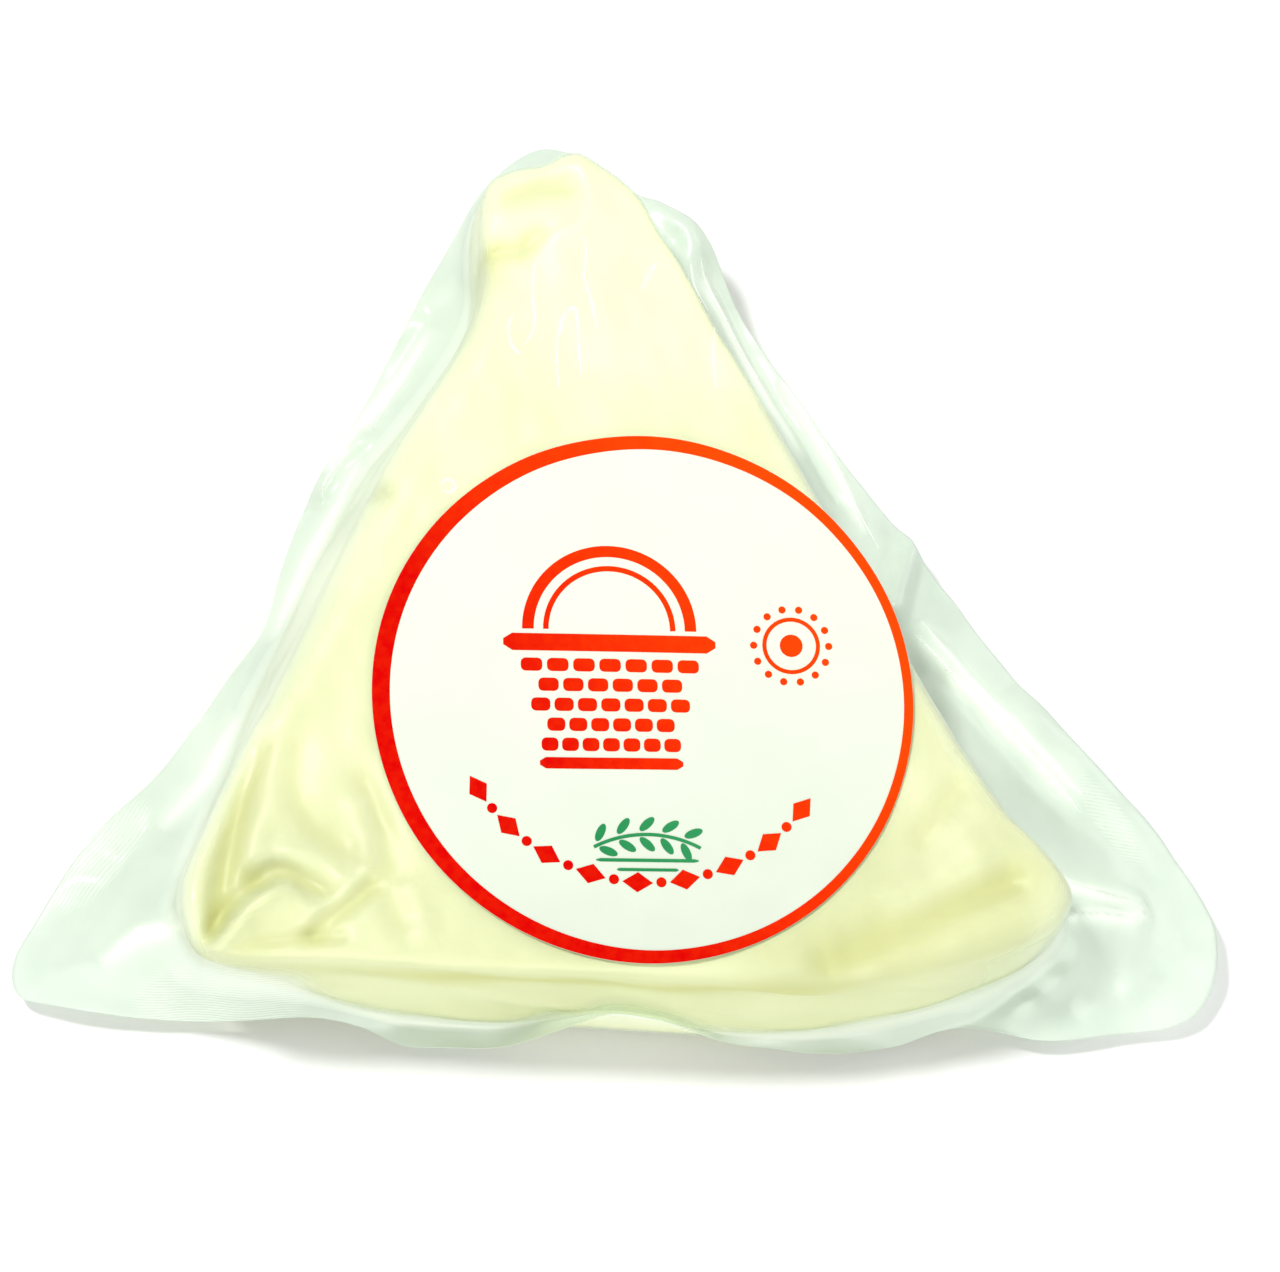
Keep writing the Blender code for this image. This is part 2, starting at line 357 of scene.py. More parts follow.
def woven_basket():
    """Rows of short bars, each row shifted by half a bar, under a rim and an arched handle."""
    x0, y0 = BASKET
    bars = []
    for row in range(WEAVE_ROWS):
        width = BASKET_WIDTH - BASKET_TAPER * row / (WEAVE_ROWS - 1)
        y = y0 - row * WEAVE_PITCH
        pitch = width / STRANDS
        count = STRANDS - row % 2
        for k in range(count):
            x = x0 + (k - (count - 1) / 2) * pitch
            bars.append(printed_box(x, y, pitch * STRAND_LENGTH, WEAVE_PITCH * STRAND_HEIGHT,
                                    STRAND_CORNER))
    half_rim, half_foot = BASKET_WIDTH / 2 + 2.2, BASKET_WIDTH / 2 - 3
    foot = y0 - WEAVE_ROWS * WEAVE_PITCH + 0.2
    bars.append(printed_line((x0 - half_rim, y0 + 3.4), (x0 + half_rim, y0 + 3.4), 2.6))
    bars.append(printed_line((x0 - half_foot, foot), (x0 + half_foot, foot), 1.7))
    for inner, outer in HANDLE_ARCHES:
        bars.append(printed_band((x0, y0 + 5.4), inner, outer, 0, 180, 48))
    return bars


red_rim = printed_band((0, 0), RIM_INNER, LABEL_RADIUS - 0.02, 0, 360, LABEL_SIDES,
                       inner_centre=RIM_SHIFT)
basket = woven_basket()
print("basket:", len(basket), "bars and arches")

# %% [markdown]
# Below the basket, diamonds and dots follow each other along an arc, and to its right stands a
# small seal of dots round a ring. Loops set both down at even angles, so their spacing changes
# with one number. All the red pieces are then joined, because one ink is one finish.

# %% Diamonds and seal
ARC_RADIUS = 29.0
ARC_MIDDLE = 1.0
ARC_SPAN = (212, 322)
ARC_MARKS = 17
SEAL = (22.0, 8.0)
SEAL_RADIUS = 5.6
SEAL_DOTS = 14


def diamond_row():
    """Diamonds and dots in turn along an arc below the basket."""
    marks = []
    for k, turn in enumerate(np.radians(np.linspace(*ARC_SPAN, ARC_MARKS))):
        x, y = ARC_RADIUS * math.cos(turn), ARC_RADIUS * math.sin(turn) + ARC_MIDDLE
        if k % 2:
            marks.append(printed_disc(x, y, 0.75, 14))
        else:
            marks.append(printed_disc(x, y, 1.5, 4, stretch=1.5, turn=turn + math.pi / 2))
    return marks


def dotted_seal():
    """A small seal of dots round a plain ring, to the right of the basket."""
    x0, y0 = SEAL
    marks = [printed_band(SEAL, 3.7, 4.3, 0, 360, 40), printed_disc(x0, y0, 1.7, 24)]
    for turn in np.linspace(0, 2 * math.pi, SEAL_DOTS, endpoint=False):
        marks.append(printed_disc(x0 + SEAL_RADIUS * math.cos(turn),
                                  y0 + SEAL_RADIUS * math.sin(turn), 0.55, 12))
    return marks


red_print = joined("label_print_red", [red_rim] + basket + diamond_row() + dotted_seal())
follow_face(red_print)
print("red print:", len(red_print.data.polygons), "faces")

# %% [markdown]
# The second ink is green. It prints a small sprig over two ground lines, in the gap that the row
# of diamonds leaves at its middle. Stretched discs are enough for leaves a few millimetres long.

# %% Green sprig
SPRIG = (0.0, -21.5)
BOW_CENTRE = (0.0, -37.5)
STEM = (16.4, 16.9)
LEAF_REACH = 16.7
LEAF_TURNS = range(68, 113, 11)
LEAF_ASIDE = 1.5
LEAF_LEAN = 0.75


def sprig():
    """A bowed stem with pairs of leaves, and two short ground lines under it."""
    x0, y0 = SPRIG
    marks = [printed_band(BOW_CENTRE, *STEM, 62, 118, 24)]
    for turn in LEAF_TURNS:
        angle = math.radians(turn)
        for side in (-1, 1):
            reach = LEAF_REACH + side * LEAF_ASIDE
            lean = angle + math.pi / 2 + side * LEAF_LEAN
            x = BOW_CENTRE[0] + reach * math.cos(angle)
            y = BOW_CENTRE[1] + reach * math.sin(angle)
            marks.append(printed_disc(x, y, 0.62, 16, stretch=2.3, turn=lean))
    marks.append(printed_line((x0 - 7.5, y0 - 3.2), (x0 + 7.5, y0 - 3.2), 0.5))
    marks.append(printed_line((x0 - 4.5, y0 - 4.6), (x0 + 4.5, y0 - 4.6), 0.45))
    return marks


green_print = joined("label_print_green", sprig())
follow_face(green_print)
print("green print:", len(green_print.data.polygons), "faces")

# %% [markdown]
# ## Sizes that change round the pack
#
# The film's skirt is wide at the corners and narrow along the rind, and its height changes too.
# A short table of (degrees, value) points holds each such size, read through a smooth curve that
# closes on itself. A value can then be changed at one place without touching the others.

# %% Tables round the pack
def round_table(table, degrees=DEGREES):
    """Values between a table's (degrees, value) points, by a smooth closed curve."""
    keys = np.array(table, float)
    at = np.concatenate([keys[-2:, 0] - 360, keys[:, 0], keys[:3, 0] + 360])
    value = np.concatenate([keys[-2:, 1], keys[:, 1], keys[:3, 1]])
    slope = (value[2:] - value[:-2]) / (at[2:] - at[:-2])
    k = np.clip(np.searchsorted(at, degrees, side="right") - 1, 1, len(at) - 3)
    span = at[k + 1] - at[k]
    t = (degrees - at[k]) / span
    return ((2 * t**3 - 3 * t**2 + 1) * value[k] + (t**3 - 2 * t**2 + t) * span * slope[k - 1]
            + (3 * t**2 - 2 * t**3) * value[k + 1] + (t**3 - t**2) * span * slope[k])


RIM_REACH = round_table((
    (2, 71.6), (13, 63.0), (26, 58.2), (38, 57.5), (54, 59.1), (63, 63.0), (70, 68.2), (75, 73.8),
    (79, 80.6), (81, 83.2), (88, 88.2), (92, 91.8), (96, 94.6), (99, 93.8), (103, 89.8),
    (108, 82.6), (117, 72.2), (127, 65.2), (140, 60.9), (151, 58.2), (161, 56.7), (168, 59.0),
    (176, 63.2), (184, 70.3), (190, 80.0), (197, 91.2), (200, 96.4), (203, 97.6), (205, 94.0),
    (210, 83.0), (215, 72.6), (221, 62.4), (227, 57.6), (235, 55.2), (241, 51.9), (255, 46.4),
    (266, 43.4), (278, 43.8), (296, 49.9), (306, 56.6), (314, 61.8), (322, 67.8), (326, 78.5),
    (331, 88.0), (335, 96.8), (338, 98.8), (342, 97.9), (345, 95.8), (351, 86.8), (356, 79.0),
))
ROOT_HEIGHT = round_table((
    (0, 17), (30, 16), (60, 18), (80, 23), (97, 25), (112, 20), (140, 16), (175, 15), (190, 17),
    (199, 22), (205, 29), (209, 31), (213, 30), (217, 24), (221, 15), (226, 8), (233, 5),
    (248, 5), (257, 10), (266, 15), (277, 13), (287, 7), (300, 4.5), (318, 7), (330, 12),
    (339, 20), (346, 21),
))
RIM_HEIGHT = round_table((
    (0, 7), (35, 10), (70, 14), (97, 18), (120, 13), (150, 9), (180, 7), (200, 5), (215, 4),
    (240, 3.4), (249, 4.5), (257, 13), (266, 20), (277, 17), (288, 7), (296, 3.4), (320, 3.6),
    (330, 5), (342, 6.5),
))
WALL_SPREAD = round_table((
    (0, 2.0), (60, 2.0), (97, 1.5), (108, 1.5), (125, 4.0), (150, 5.5), (175, 5.0), (190, 2.5),
    (205, 1.0), (225, 0.8), (270, 1.0), (320, 1.4), (340, 2.0),
))
TOP_ROUND = round_table((
    (0, 5.0), (60, 5.0), (82, 3.4), (98, 3.0), (104, 4.0), (109, 6.0), (114, 6.0), (150, 6.0),
    (190, 5.0), (203, 4.0), (212, 2.6), (230, 2.2), (262, 2.4), (282, 4.5), (300, 7.5),
    (318, 9.5), (332, 7.5), (345, 5.5),
))
BACK_ROUND = round_table((
    (0, 5), (97, 6), (185, 5), (196, 12), (204, 26), (210, 28), (215, 26), (220, 16), (225, 9),
    (233, 5), (300, 5), (330, 8),
))
BACK_INSET = round_table((
    (0, 5), (97, 5), (185, 5), (196, 9), (204, 15), (210, 16), (215, 14), (220, 10), (225, 7),
    (233, 5), (300, 5), (330, 7),
))
WALL = EDGE + WALL_SPREAD * (1 - ROOT_HEIGHT / FACE_HEIGHT)
RIM = np.maximum(RIM_REACH, WALL + 1.0)
print("film skirt: from", round(float((RIM - WALL).min()), 1), "to",
      round(float((RIM - WALL).max()), 1), "mm wide")

# %% [markdown]
# ## Folds
#
# Vacuum pulls the film flat on the cheese and presses its creases into the soft paste. Each
# crease is a path of a few points with a height and a half width. A soft fold has the section of
# a bell, and a pinched one a sharp crest. All heights are added up, so folds can cross. Sculpting
# would be freer, but a path can be set against the photograph point by point.

# %% Fold helpers
CREST_SOFTNESS = 0.06
CREST_LEVEL = 0.245


def soft_step(share):
    """0 up to 0, 1 from 1 on, and a smooth climb between."""
    share = np.clip(share, 0, 1)
    return share * share * (3 - 2 * share)


def hump(value, middle, half_width):
    """1 at the middle, falling softly to 0 on both sides."""
    return np.exp(-(((value - middle) / half_width) ** 2))


def fold(x, y, rise, half_width, path, pinched=False):
    """The height that one fold adds at each point (x, y)."""
    nearest = np.full(np.shape(x), np.inf)
    place = np.zeros(np.shape(x))
    lengths = [math.dist(a, b) for a, b in zip(path, path[1:])]
    walked = 0.0
    for (x0, y0), (x1, y1), length in zip(path, path[1:], lengths):
        share = ((x - x0) * (x1 - x0) + (y - y0) * (y1 - y0)) / length**2
        share = np.clip(share, 0, 1)
        gap = np.hypot(x - x0 - share * (x1 - x0), y - y0 - share * (y1 - y0))
        closer = gap < nearest
        nearest = np.where(closer, gap, nearest)
        place = np.where(closer, walked + share * length, place)
        walked += length
    if not pinched:
        return rise * hump(nearest, 0, half_width)
    fade = np.clip(4 * place / walked * (1 - place / walked), 0, 1) ** 0.5
    slope = np.sqrt((nearest / half_width) ** 2 + CREST_SOFTNESS)
    return rise * fade * np.exp(CREST_LEVEL - slope)


def all_folds(x, y, soft, pinched):
    """The height of all these folds together."""
    height = sum(fold(x, y, *one) for one in soft)
    return height + sum(fold(x, y, *one, pinched=True) for one in pinched)


# %% [markdown]
# These are the folds of the cheese, each as rise, half width and path in millimetres, set against
# the photograph corner by corner. The label is a stiff disc that irons them flat below itself, so
# they fade away at its rim. A slow swell keeps the rest from looking machined.

# %% Folds pressed into the cheese
CHEESE_FOLDS = (
    # The left corner: a long groove along the side, a hook across it, and lobes between them
    (-1.9, 2.1, ((-56.0, -8.0), (-58.6, -15.0), (-60.3, -22.5), (-61.5, -29.0), (-62.6, -34.5))),
    (0.9, 2.6, ((-58.0, -4.0), (-62.6, -15.0), (-66.2, -26.0), (-66.4, -33.0))),
    (-1.8, 1.9, ((-57.0, -27.9), (-53.7, -26.6), (-51.1, -26.8), (-48.5, -28.2), (-46.6, -29.7))),
    (1.1, 2.6, ((-55.5, -30.6), (-51.0, -31.4))),
    (-1.5, 1.3, ((-63.4, -36.6), (-61.6, -33.4), (-58.9, -30.5), (-56.0, -28.8))),
    (-1.5, 1.6, ((-40.4, -28.6), (-43.4, -31.3), (-46.4, -33.7), (-48.4, -35.4))),
    (-0.8, 1.3, ((-60.6, -38.0), (-56.4, -37.1), (-51.2, -36.4), (-44.6, -36.2))),
    (-0.8, 2.6, ((-51.3, -8.5), (-50.4, -16.3), (-47.8, -20.3), (-44.0, -23.0))),
    (-0.8, 2.8, ((-40.6, -13.5), (-38.2, -20.2), (-37.4, -25.0), (-36.8, -29.0), (-34.8, -33.0))),
    (0.8, 1.8, ((-42.0, -17.0), (-40.6, -21.2), (-40.4, -25.6))),
    (0.7, 2.2, ((-34.6, -29.8), (-32.4, -34.5))),
    (0.8, 3.4, ((-54.5, -6), (-50.5, 1), (-45.5, 11))),
    # The right corner: a broad trough down to the rind and a shallow one beside it
    (-1.9, 3.2, ((54.0, -26.4), (48.2, -29.1), (42.7, -32.0), (35.7, -34.8), (27.0, -38.6))),
    (0.8, 3.0, ((52.0, -21.4), (45.0, -25.4), (38.0, -29.4))),
    (-1.2, 2.8, ((56, -34.0), (48, -37.6), (38, -40))),
    (-0.8, 2.2, ((46.4, -13.0), (43.0, -17.7), (40.8, -20.5))),
    # The left side, where a pleat ends in a notch
    (-2.2, 1.8, ((-46, 31), (-42, 33.8), (-38.5, 31.5))),
    (1.0, 2.0, ((-43, 36), (-38.5, 41))),
    # The point: a knob of cheese with a notch under it and a groove across it
    (-2.0, 4.0, ((-28.0, 60.0), (-24.5, 66.0))),
    (-1.5, 1.7, ((-25.0, 68.0), (-20.0, 69.6), (-17.3, 69.5), (-14.4, 72.0))),
    (-1.1, 1.9, ((-18.5, 77.4), (-13.5, 79.2), (-9.9, 79.8))),
    (0.8, 2.6, ((-19.5, 74.0), (-14.5, 75.6))),
)
PINCHED_CHEESE_FOLDS = (
    # The left corner: the long ridge, the lip over the hook, and the slanting ridge
    (2.4, 1.3, ((-63.0, -39.6), (-60.3, -35.7), (-57.4, -32.5), (-53.8, -30.1), (-50.6, -28.6))),
    (0.6, 1.5, ((-57.4, -26.4), (-54.5, -24.5), (-52.2, -24.2), (-49.5, -25.5), (-45.0, -29.6))),
    (1.6, 1.2, ((-40.6, -25.8), (-41.8, -27.5), (-44.2, -29.7), (-47.2, -31.9), (-50.2, -34.4))),
    # The lip round the knob, and two pleats that come in from the skirt
    (1.0, 1.2, ((-8.6, 84.2), (-7.0, 79.3), (-6.7, 76.1), (-8.3, 73.2), (-11.3, 71.8),
                (-15.4, 70.6))),
    (0.9, 1.0, ((-44.0, 32.4), (-40.8, 34.8), (-38.2, 37.6))),
    (1.2, 1.2, ((51.6, -13.0), (55.2, -15.4), (58.9, -18.4), (63.0, -22.2), (67.0, -25.4))),
)
LEAN = (-1.2, 11.0, ((8, -52), (34, -48), (64, -34)))
LABEL_FADE = 2.5


def fold_relief(x, y):
    """Height of the folds on the face. They fade out under the label, which irons them flat."""
    clear = soft_step((np.hypot(x, y) - LABEL_RADIUS - 0.3) / LABEL_FADE)
    return all_folds(x, y, CHEESE_FOLDS, PINCHED_CHEESE_FOLDS) * clear


def face_relief(x, y):
    """The folds, with a lean down to the rind and a soft swell."""
    swell = 0.16 * ripples(x, y, 15, seed=3) + 0.07 * ripples(x, y, 6, seed=4)
    under_label = np.clip((LABEL_RADIUS + 0.5 - np.hypot(x, y)) / LABEL_FADE + 1, 0, 1)
    return fold_relief(x, y) + (swell + fold(x, y, *LEAN)) * (1 - 0.9 * under_label)


print("folds in the cheese:", len(CHEESE_FOLDS) + len(PINCHED_CHEESE_FOLDS))

# %% [markdown]
# ## Shells from a sheet
#
# Vacuum film starts as a flat sheet, and so do these meshes. A grid has one column for each ray
# and one row for each ring. It is rolled up until its first and last columns meet, and its first
# and last rows each shrink to one point: the middle of the face and the middle of the back.

# %% Shell helpers
def ring(reach, height):
    """One ring of points, in millimetres, with its own reach and height on every ray."""
    reach = np.broadcast_to(reach, ANGLES.shape)
    return np.stack([reach * np.cos(ANGLES), reach * np.sin(ANGLES),
                     np.broadcast_to(height, ANGLES.shape)], axis=1)


def bent_rings(start, corner, end, steps):
    """Rings round a bend: each of start, corner and end is a (reach, height) pair."""
    return [ring(*((1 - t) ** 2 * a + 2 * t * (1 - t) * b + t**2 * c
                   for a, b, c in zip(start, corner, end)))
            for t in np.linspace(0, 1, steps + 1)[1:]]


def straight_rings(start, end, steps):
    """Rings in even steps from one (reach, height) pair to another."""
    return [ring(*(a + (b - a) * t for a, b in zip(start, end)))
            for t in np.linspace(0, 1, steps + 1)[1:]]


def rolled_sheet(name, rings, top, bottom, **marks):
    """Adds a grid and rolls it up into a shell with these rings. Each mark is one attribute."""
    bpy.ops.object.select_all(action="DESELECT")
    rows = len(rings) + 2
    bpy.ops.mesh.primitive_grid_add(x_subdivisions=RAYS, y_subdivisions=rows - 1, size=2)
    piece = named(name)
    flat = np.empty(len(piece.data.vertices) * 3, np.float32)
    piece.data.vertices.foreach_get("co", flat)
    flat = flat.reshape(-1, 3)
    ray = np.rint((flat[:, 0] + 1) / 2 * RAYS).astype(int) % RAYS
    row = np.rint((1 - flat[:, 1]) / 2 * (rows - 1)).astype(int)
    rolled = rings[np.clip(row - 1, 0, rows - 3), ray]
    rolled[row == 0] = (0, 0, top)
    rolled[row == rows - 1] = (0, 0, bottom)
    piece.data.vertices.foreach_set("co", (rolled * MM).astype(np.float32).ravel())
    for mark, values in marks.items():
        shares = values[np.clip(row - 1, 0, rows - 3), ray].astype(np.float32)
        piece.data.attributes.new(mark, "FLOAT", "POINT").data.foreach_set("value", shares)
    piece.data.update()
    bpy.ops.object.mode_set(mode="EDIT")
    bpy.ops.mesh.select_all(action="SELECT")
    bpy.ops.mesh.remove_doubles(threshold=0.00001 * MM)
    bpy.ops.mesh.normals_make_consistent(inside=False)
    bpy.ops.object.mode_set(mode="OBJECT")
    bpy.ops.object.shade_smooth()
    print(name, "has", len(piece.data.vertices), "points and", len(piece.data.polygons), "faces")
    return piece


# %% [markdown]
# ## The cheese
#
# The cheese is a soft white paste with a wet skin. Its face is flat, its edges are rounded where
# the vacuum has squeezed them, and its rind side bulges in two long soft swells. It could be cut
# from a cylinder, but then its folds would have no edge loops near them. Closely spaced rings
# carry them. A mark on the mesh tells the finish where to paint shade: in the grooves, and in a
# band under the rind's upper edge.

# %% Wedge of cheese
FACE_SHARES = np.concatenate([[0.12, 0.26, 0.4], np.linspace(0.5, 1, 54)])
FACE_RINGS = len(FACE_SHARES)
ROUND_RINGS = 9
WALL_RINGS = 24
ON_RIND = np.clip(-np.sin(ANGLES) * 2.2 - 0.9, 0, 1)
CHEESE_INSET = 0.15
EDGE_FOLD = 31.5
EDGE_SHADE_LINE = 32.0


def wall_relief(x, y, z):
    """How far the walls swell out: a fold under the rind's upper edge and long soft swells."""
    swell = 0.3 * np.sin(z / FACE_HEIGHT * 2.2 * math.pi + 0.8 * np.sin(x / 17 + 1))
    under_edge = hump(z, EDGE_FOLD, 3.4) * np.clip((40 - x) / 40, 0.2, 1)
    slow = 0.35 * ripples(x + 0.9 * z, y - 1.1 * z, 19, seed=8)
    return (swell - 0.3 * under_edge) * ON_RIND + slow


def pressed_rings(rings, face_and_round, inset=0.0):
    """Adds the folds: down from the face, and outwards on the walls, where they fade away.

    Rings that lie inside the film read the walls' swell that far out, so the two stay apart."""
    rings = np.array(rings)
    x, y, z = rings[..., 0], rings[..., 1], rings[..., 2]
    reach = np.hypot(x, y)
    out = 1 + 2 * inset / EDGE
    relief = face_relief(x, y)
    depth = np.clip((z - ROOT_HEIGHT) / (FACE_HEIGHT - TOP_ROUND - ROOT_HEIGHT), 0, 1)
    rings[..., 2] += relief * np.where(np.arange(len(rings))[:, None] < face_and_round, 1, depth)
    below = soft_step((FACE_HEIGHT - TOP_ROUND * 0.7 - z) / 5)
    below = below * soft_step((z - ROOT_HEIGHT) / 6)
    outwards = wall_relief(x * out, y * out, z) * below / np.maximum(reach, 1)
    rings[..., 0] += x * outwards
    rings[..., 1] += y * outwards
    return rings


def cheese_rings(inset):
    """The rings of the cheese, this far inside the film."""
    top = FACE_HEIGHT - inset
    edge = EDGE - 2 * inset
    low_wall = WALL - 2 * inset
    rings = [ring((edge - TOP_ROUND) * share, top) for share in FACE_SHARES]
    rings += bent_rings((edge - TOP_ROUND, top), (edge, top), (edge, top - TOP_ROUND), ROUND_RINGS)
    rings += straight_rings((edge, top - TOP_ROUND), (low_wall, BACK_ROUND), WALL_RINGS)
    rings += bent_rings((low_wall, BACK_ROUND), (low_wall, inset),
                        (low_wall - BACK_INSET, inset), 12)
    rings += straight_rings((low_wall - BACK_INSET, inset), (low_wall * 0.1, inset), 8)
    return pressed_rings(rings, FACE_RINGS + ROUND_RINGS, inset)


rings_of_cheese = cheese_rings(CHEESE_INSET)
x, y, z = (rings_of_cheese[..., k] for k in range(3))
# Painted shade: a darker band under the rind's upper edge, and darker yellow in the grooves of the
# folds.
under_edge = hump(z, EDGE_SHADE_LINE, 4.0) * ON_RIND * np.clip((55 - x) / 40, 0.3, 1)
groove = np.clip(-fold_relief(x, y) / 2.4, 0, 1) * np.clip((z - 20) / 14, 0, 1)
past_edge = soft_step((np.arange(len(z))[:, None] - FACE_RINGS) / 8)
groove = np.maximum(groove, 1.3 * under_edge * past_edge)
cheese = rolled_sheet("cheese", rings_of_cheese, FACE_HEIGHT - CHEESE_INSET, CHEESE_INSET,
                      groove=groove)
print("cheese: grooves on", int((groove > 0.3).sum()), "points")

# %% [markdown]
# ## The film
#
# The film is one shut bag. Its upper sheet lies on the cheese, turns down the walls and leaves
# them at the root of the skirt, and there the lower sheet meets it. Out to the rim the two lie
# face to face. A Cloth simulation could find folds of its own, but not these ones, so the folds of
# the skirt are set down as paths too.

# %% Folds of the film's skirt
SKIRT_FOLDS = (
    # The left corner: the crest of the flap in front, and the hollows behind it
    (3.0, 2.2, ((-74.9, -34.0), (-72.6, -32.7), (-69.6, -32.9))),
    (1.2, 3.0, ((-84, -35), (-80, -37))),
    (-1.6, 2.6, ((-71, -14), (-76, -20), (-79, -27))),
    (0.7, 3.4, ((-66, -14), (-72, -24))),
    (-1.5, 2.6, ((-60, 2), (-66, -8), (-69, -16))),
    # The left side
    (-1.2, 1.8, ((-28.9, 66.6), (-33.3, 57.3), (-38, 50))),
    (2.2, 2.2, ((-45, 39.5), (-43.6, 44.0), (-39.4, 46.6))),
    (1.0, 2.0, ((-25.5, 74), (-29.5, 66))),
    # The point and the right side
    (2.6, 2.6, ((7, 85), (11.4, 81.4), (13.2, 77.4))),
    (-1.4, 1.6, ((14.2, 76.2), (17, 71.6), (22.9, 60.3), (30.7, 47.1), (35, 40))),
    (2.2, 2.0, ((47.0, 34.6), (45.2, 28), (43.6, 22.6))),
    (-1.6, 2.8, ((52, 10), (59, 2.4), (65, -4), (69, -9))),
    (1.4, 2.8, ((64, 8), (71, 0), (78, -8), (83, -14))),
    # The right corner: soft bubbles in front of the rind
    (1.0, 1.9, ((65.2, -35.2), (67.0, -36.0))),
    (0.9, 1.6, ((62.0, -38.6), (63.8, -38.9))),
    (0.9, 1.9, ((72.0, -39.0), (74.2, -38.8))),
    (1.0, 2.4, ((79.0, -35.6), (81.6, -35.0))),
    (-0.9, 2.0, ((55, -40), (60, -37), (66, -32))),
)
PINCHED_SKIRT_FOLDS = (
    # The dog-ear that stands out from the right corner
    (3.4, 1.3, ((58.9, -17.4), (63.0, -20.4), (67.1, -22.4), (71.3, -23.0), (82.0, -23.3))),
    (2.0, 1.0, ((66.0, -27.6), (68.7, -27.0), (74.5, -26.2), (78.8, -26.0), (82.6, -24.2))),
    # Long pleats to the right, on both sides of a darker strip
    (1.2, 0.8, ((46.4, 18.5), (52.6, 11.8), (57.5, 6.8), (63.0, 1.0), (66.4, -2.6), (71.9, -8.7))),
    (1.2, 0.8, ((47.6, 20.6), (54.8, 11.8), (61.0, 5.4), (66.5, -0.4), (70.7, -4.7), (73.0, -7.0))),
    (1.0, 0.9, ((26.3, 58.7), (32.4, 48.8), (36.3, 41.8), (39.6, 34.4))),
    (1.0, 0.9, ((13.2, 77.2), (15.5, 70.6), (22.9, 57.3), (29.7, 45.6))),
    # The flap at the left corner and the pleats that run up the left side
    (2.4, 1.0, ((-78.0, -35.4), (-74.9, -33.9), (-72.6, -32.7), (-69.9, -32.7), (-66.5, -33.6))),
    (1.2, 0.9, ((-28.7, 64.5), (-33.3, 57.0), (-40.4, 48.7), (-45, 42))),
    (1.2, 0.9, ((-39.6, 43.4), (-42.4, 36.9), (-47.2, 28.1), (-52.7, 15.4))),
    (0.5, 1.4, ((-57, 4), (-63, -7), (-69, -14))),
)


def skirt_relief(x, y):
    """The skirt's folds, with a slow and a quick random swell."""
    height = all_folds(x, y, SKIRT_FOLDS, PINCHED_SKIRT_FOLDS)
    return height + 0.45 * ripples(x, y, 26, seed=11) + 0.16 * ripples(x, y, 8, seed=12)


def pinched_share(x, y, folds):
    """How nearly a point lies on the crest of a pinched fold, from 0 to 1."""
    crests = [fold(x, y, 1, half_width, path, pinched=True) for _, half_width, path in folds]
    return np.clip(np.max(crests, axis=0), 0, 1)


print("folds in the skirt:", len(SKIRT_FOLDS) + len(PINCHED_SKIRT_FOLDS))

# %% [markdown]
# The bag is rolled up from a sheet like the cheese. Over the face it runs through the same rings
# and the same folds as the cheese inside it, a hair's breadth further out, so the two don't cross.
# The skirt gets many rings of its own, because it shows every crease.

# %% Bag of film
FILLET = np.minimum(2.6, 0.4 * (RIM - WALL))
FILLET_RINGS = 5
SKIRT_RINGS = 38
SKIRT_SAG = 1.35
SHEETS_APART = 0.3
LEAST_CLEARANCE = 0.5
RIM_WAVES = 17
RIM_SWING = 0.9


def skirt_ring(share, lift):
    """A ring of the skirt, at a share of its width, raised or lowered by half the sheets' gap."""
    width = RIM - WALL
    height = RIM_HEIGHT + (ROOT_HEIGHT - RIM_HEIGHT) * (1 - share) ** SKIRT_SAG
    points = ring(WALL + share * width, height)
    relief = skirt_relief(points[:, 0], points[:, 1])
    room = np.clip(width * share / 5, 0, 1) * np.clip((width - 2) / 3, 0.15, 1)
    rise = relief * room
    wave = np.sin(WALKED / GIRTH * 2 * math.pi * RIM_WAVES + 1.3)
    swing = RIM_SWING * share**2 * wave * room
    points[:, 2] = np.maximum(points[:, 2] + rise + swing, LEAST_CLEARANCE) + lift
    return points


def skirt_corner(lift):
    """The ring where the skirt starts, past the fillet, as (reach, height)."""
    start = skirt_ring(FILLET / (RIM - WALL), lift)
    return np.hypot(start[:, 0], start[:, 1]), start[:, 2]


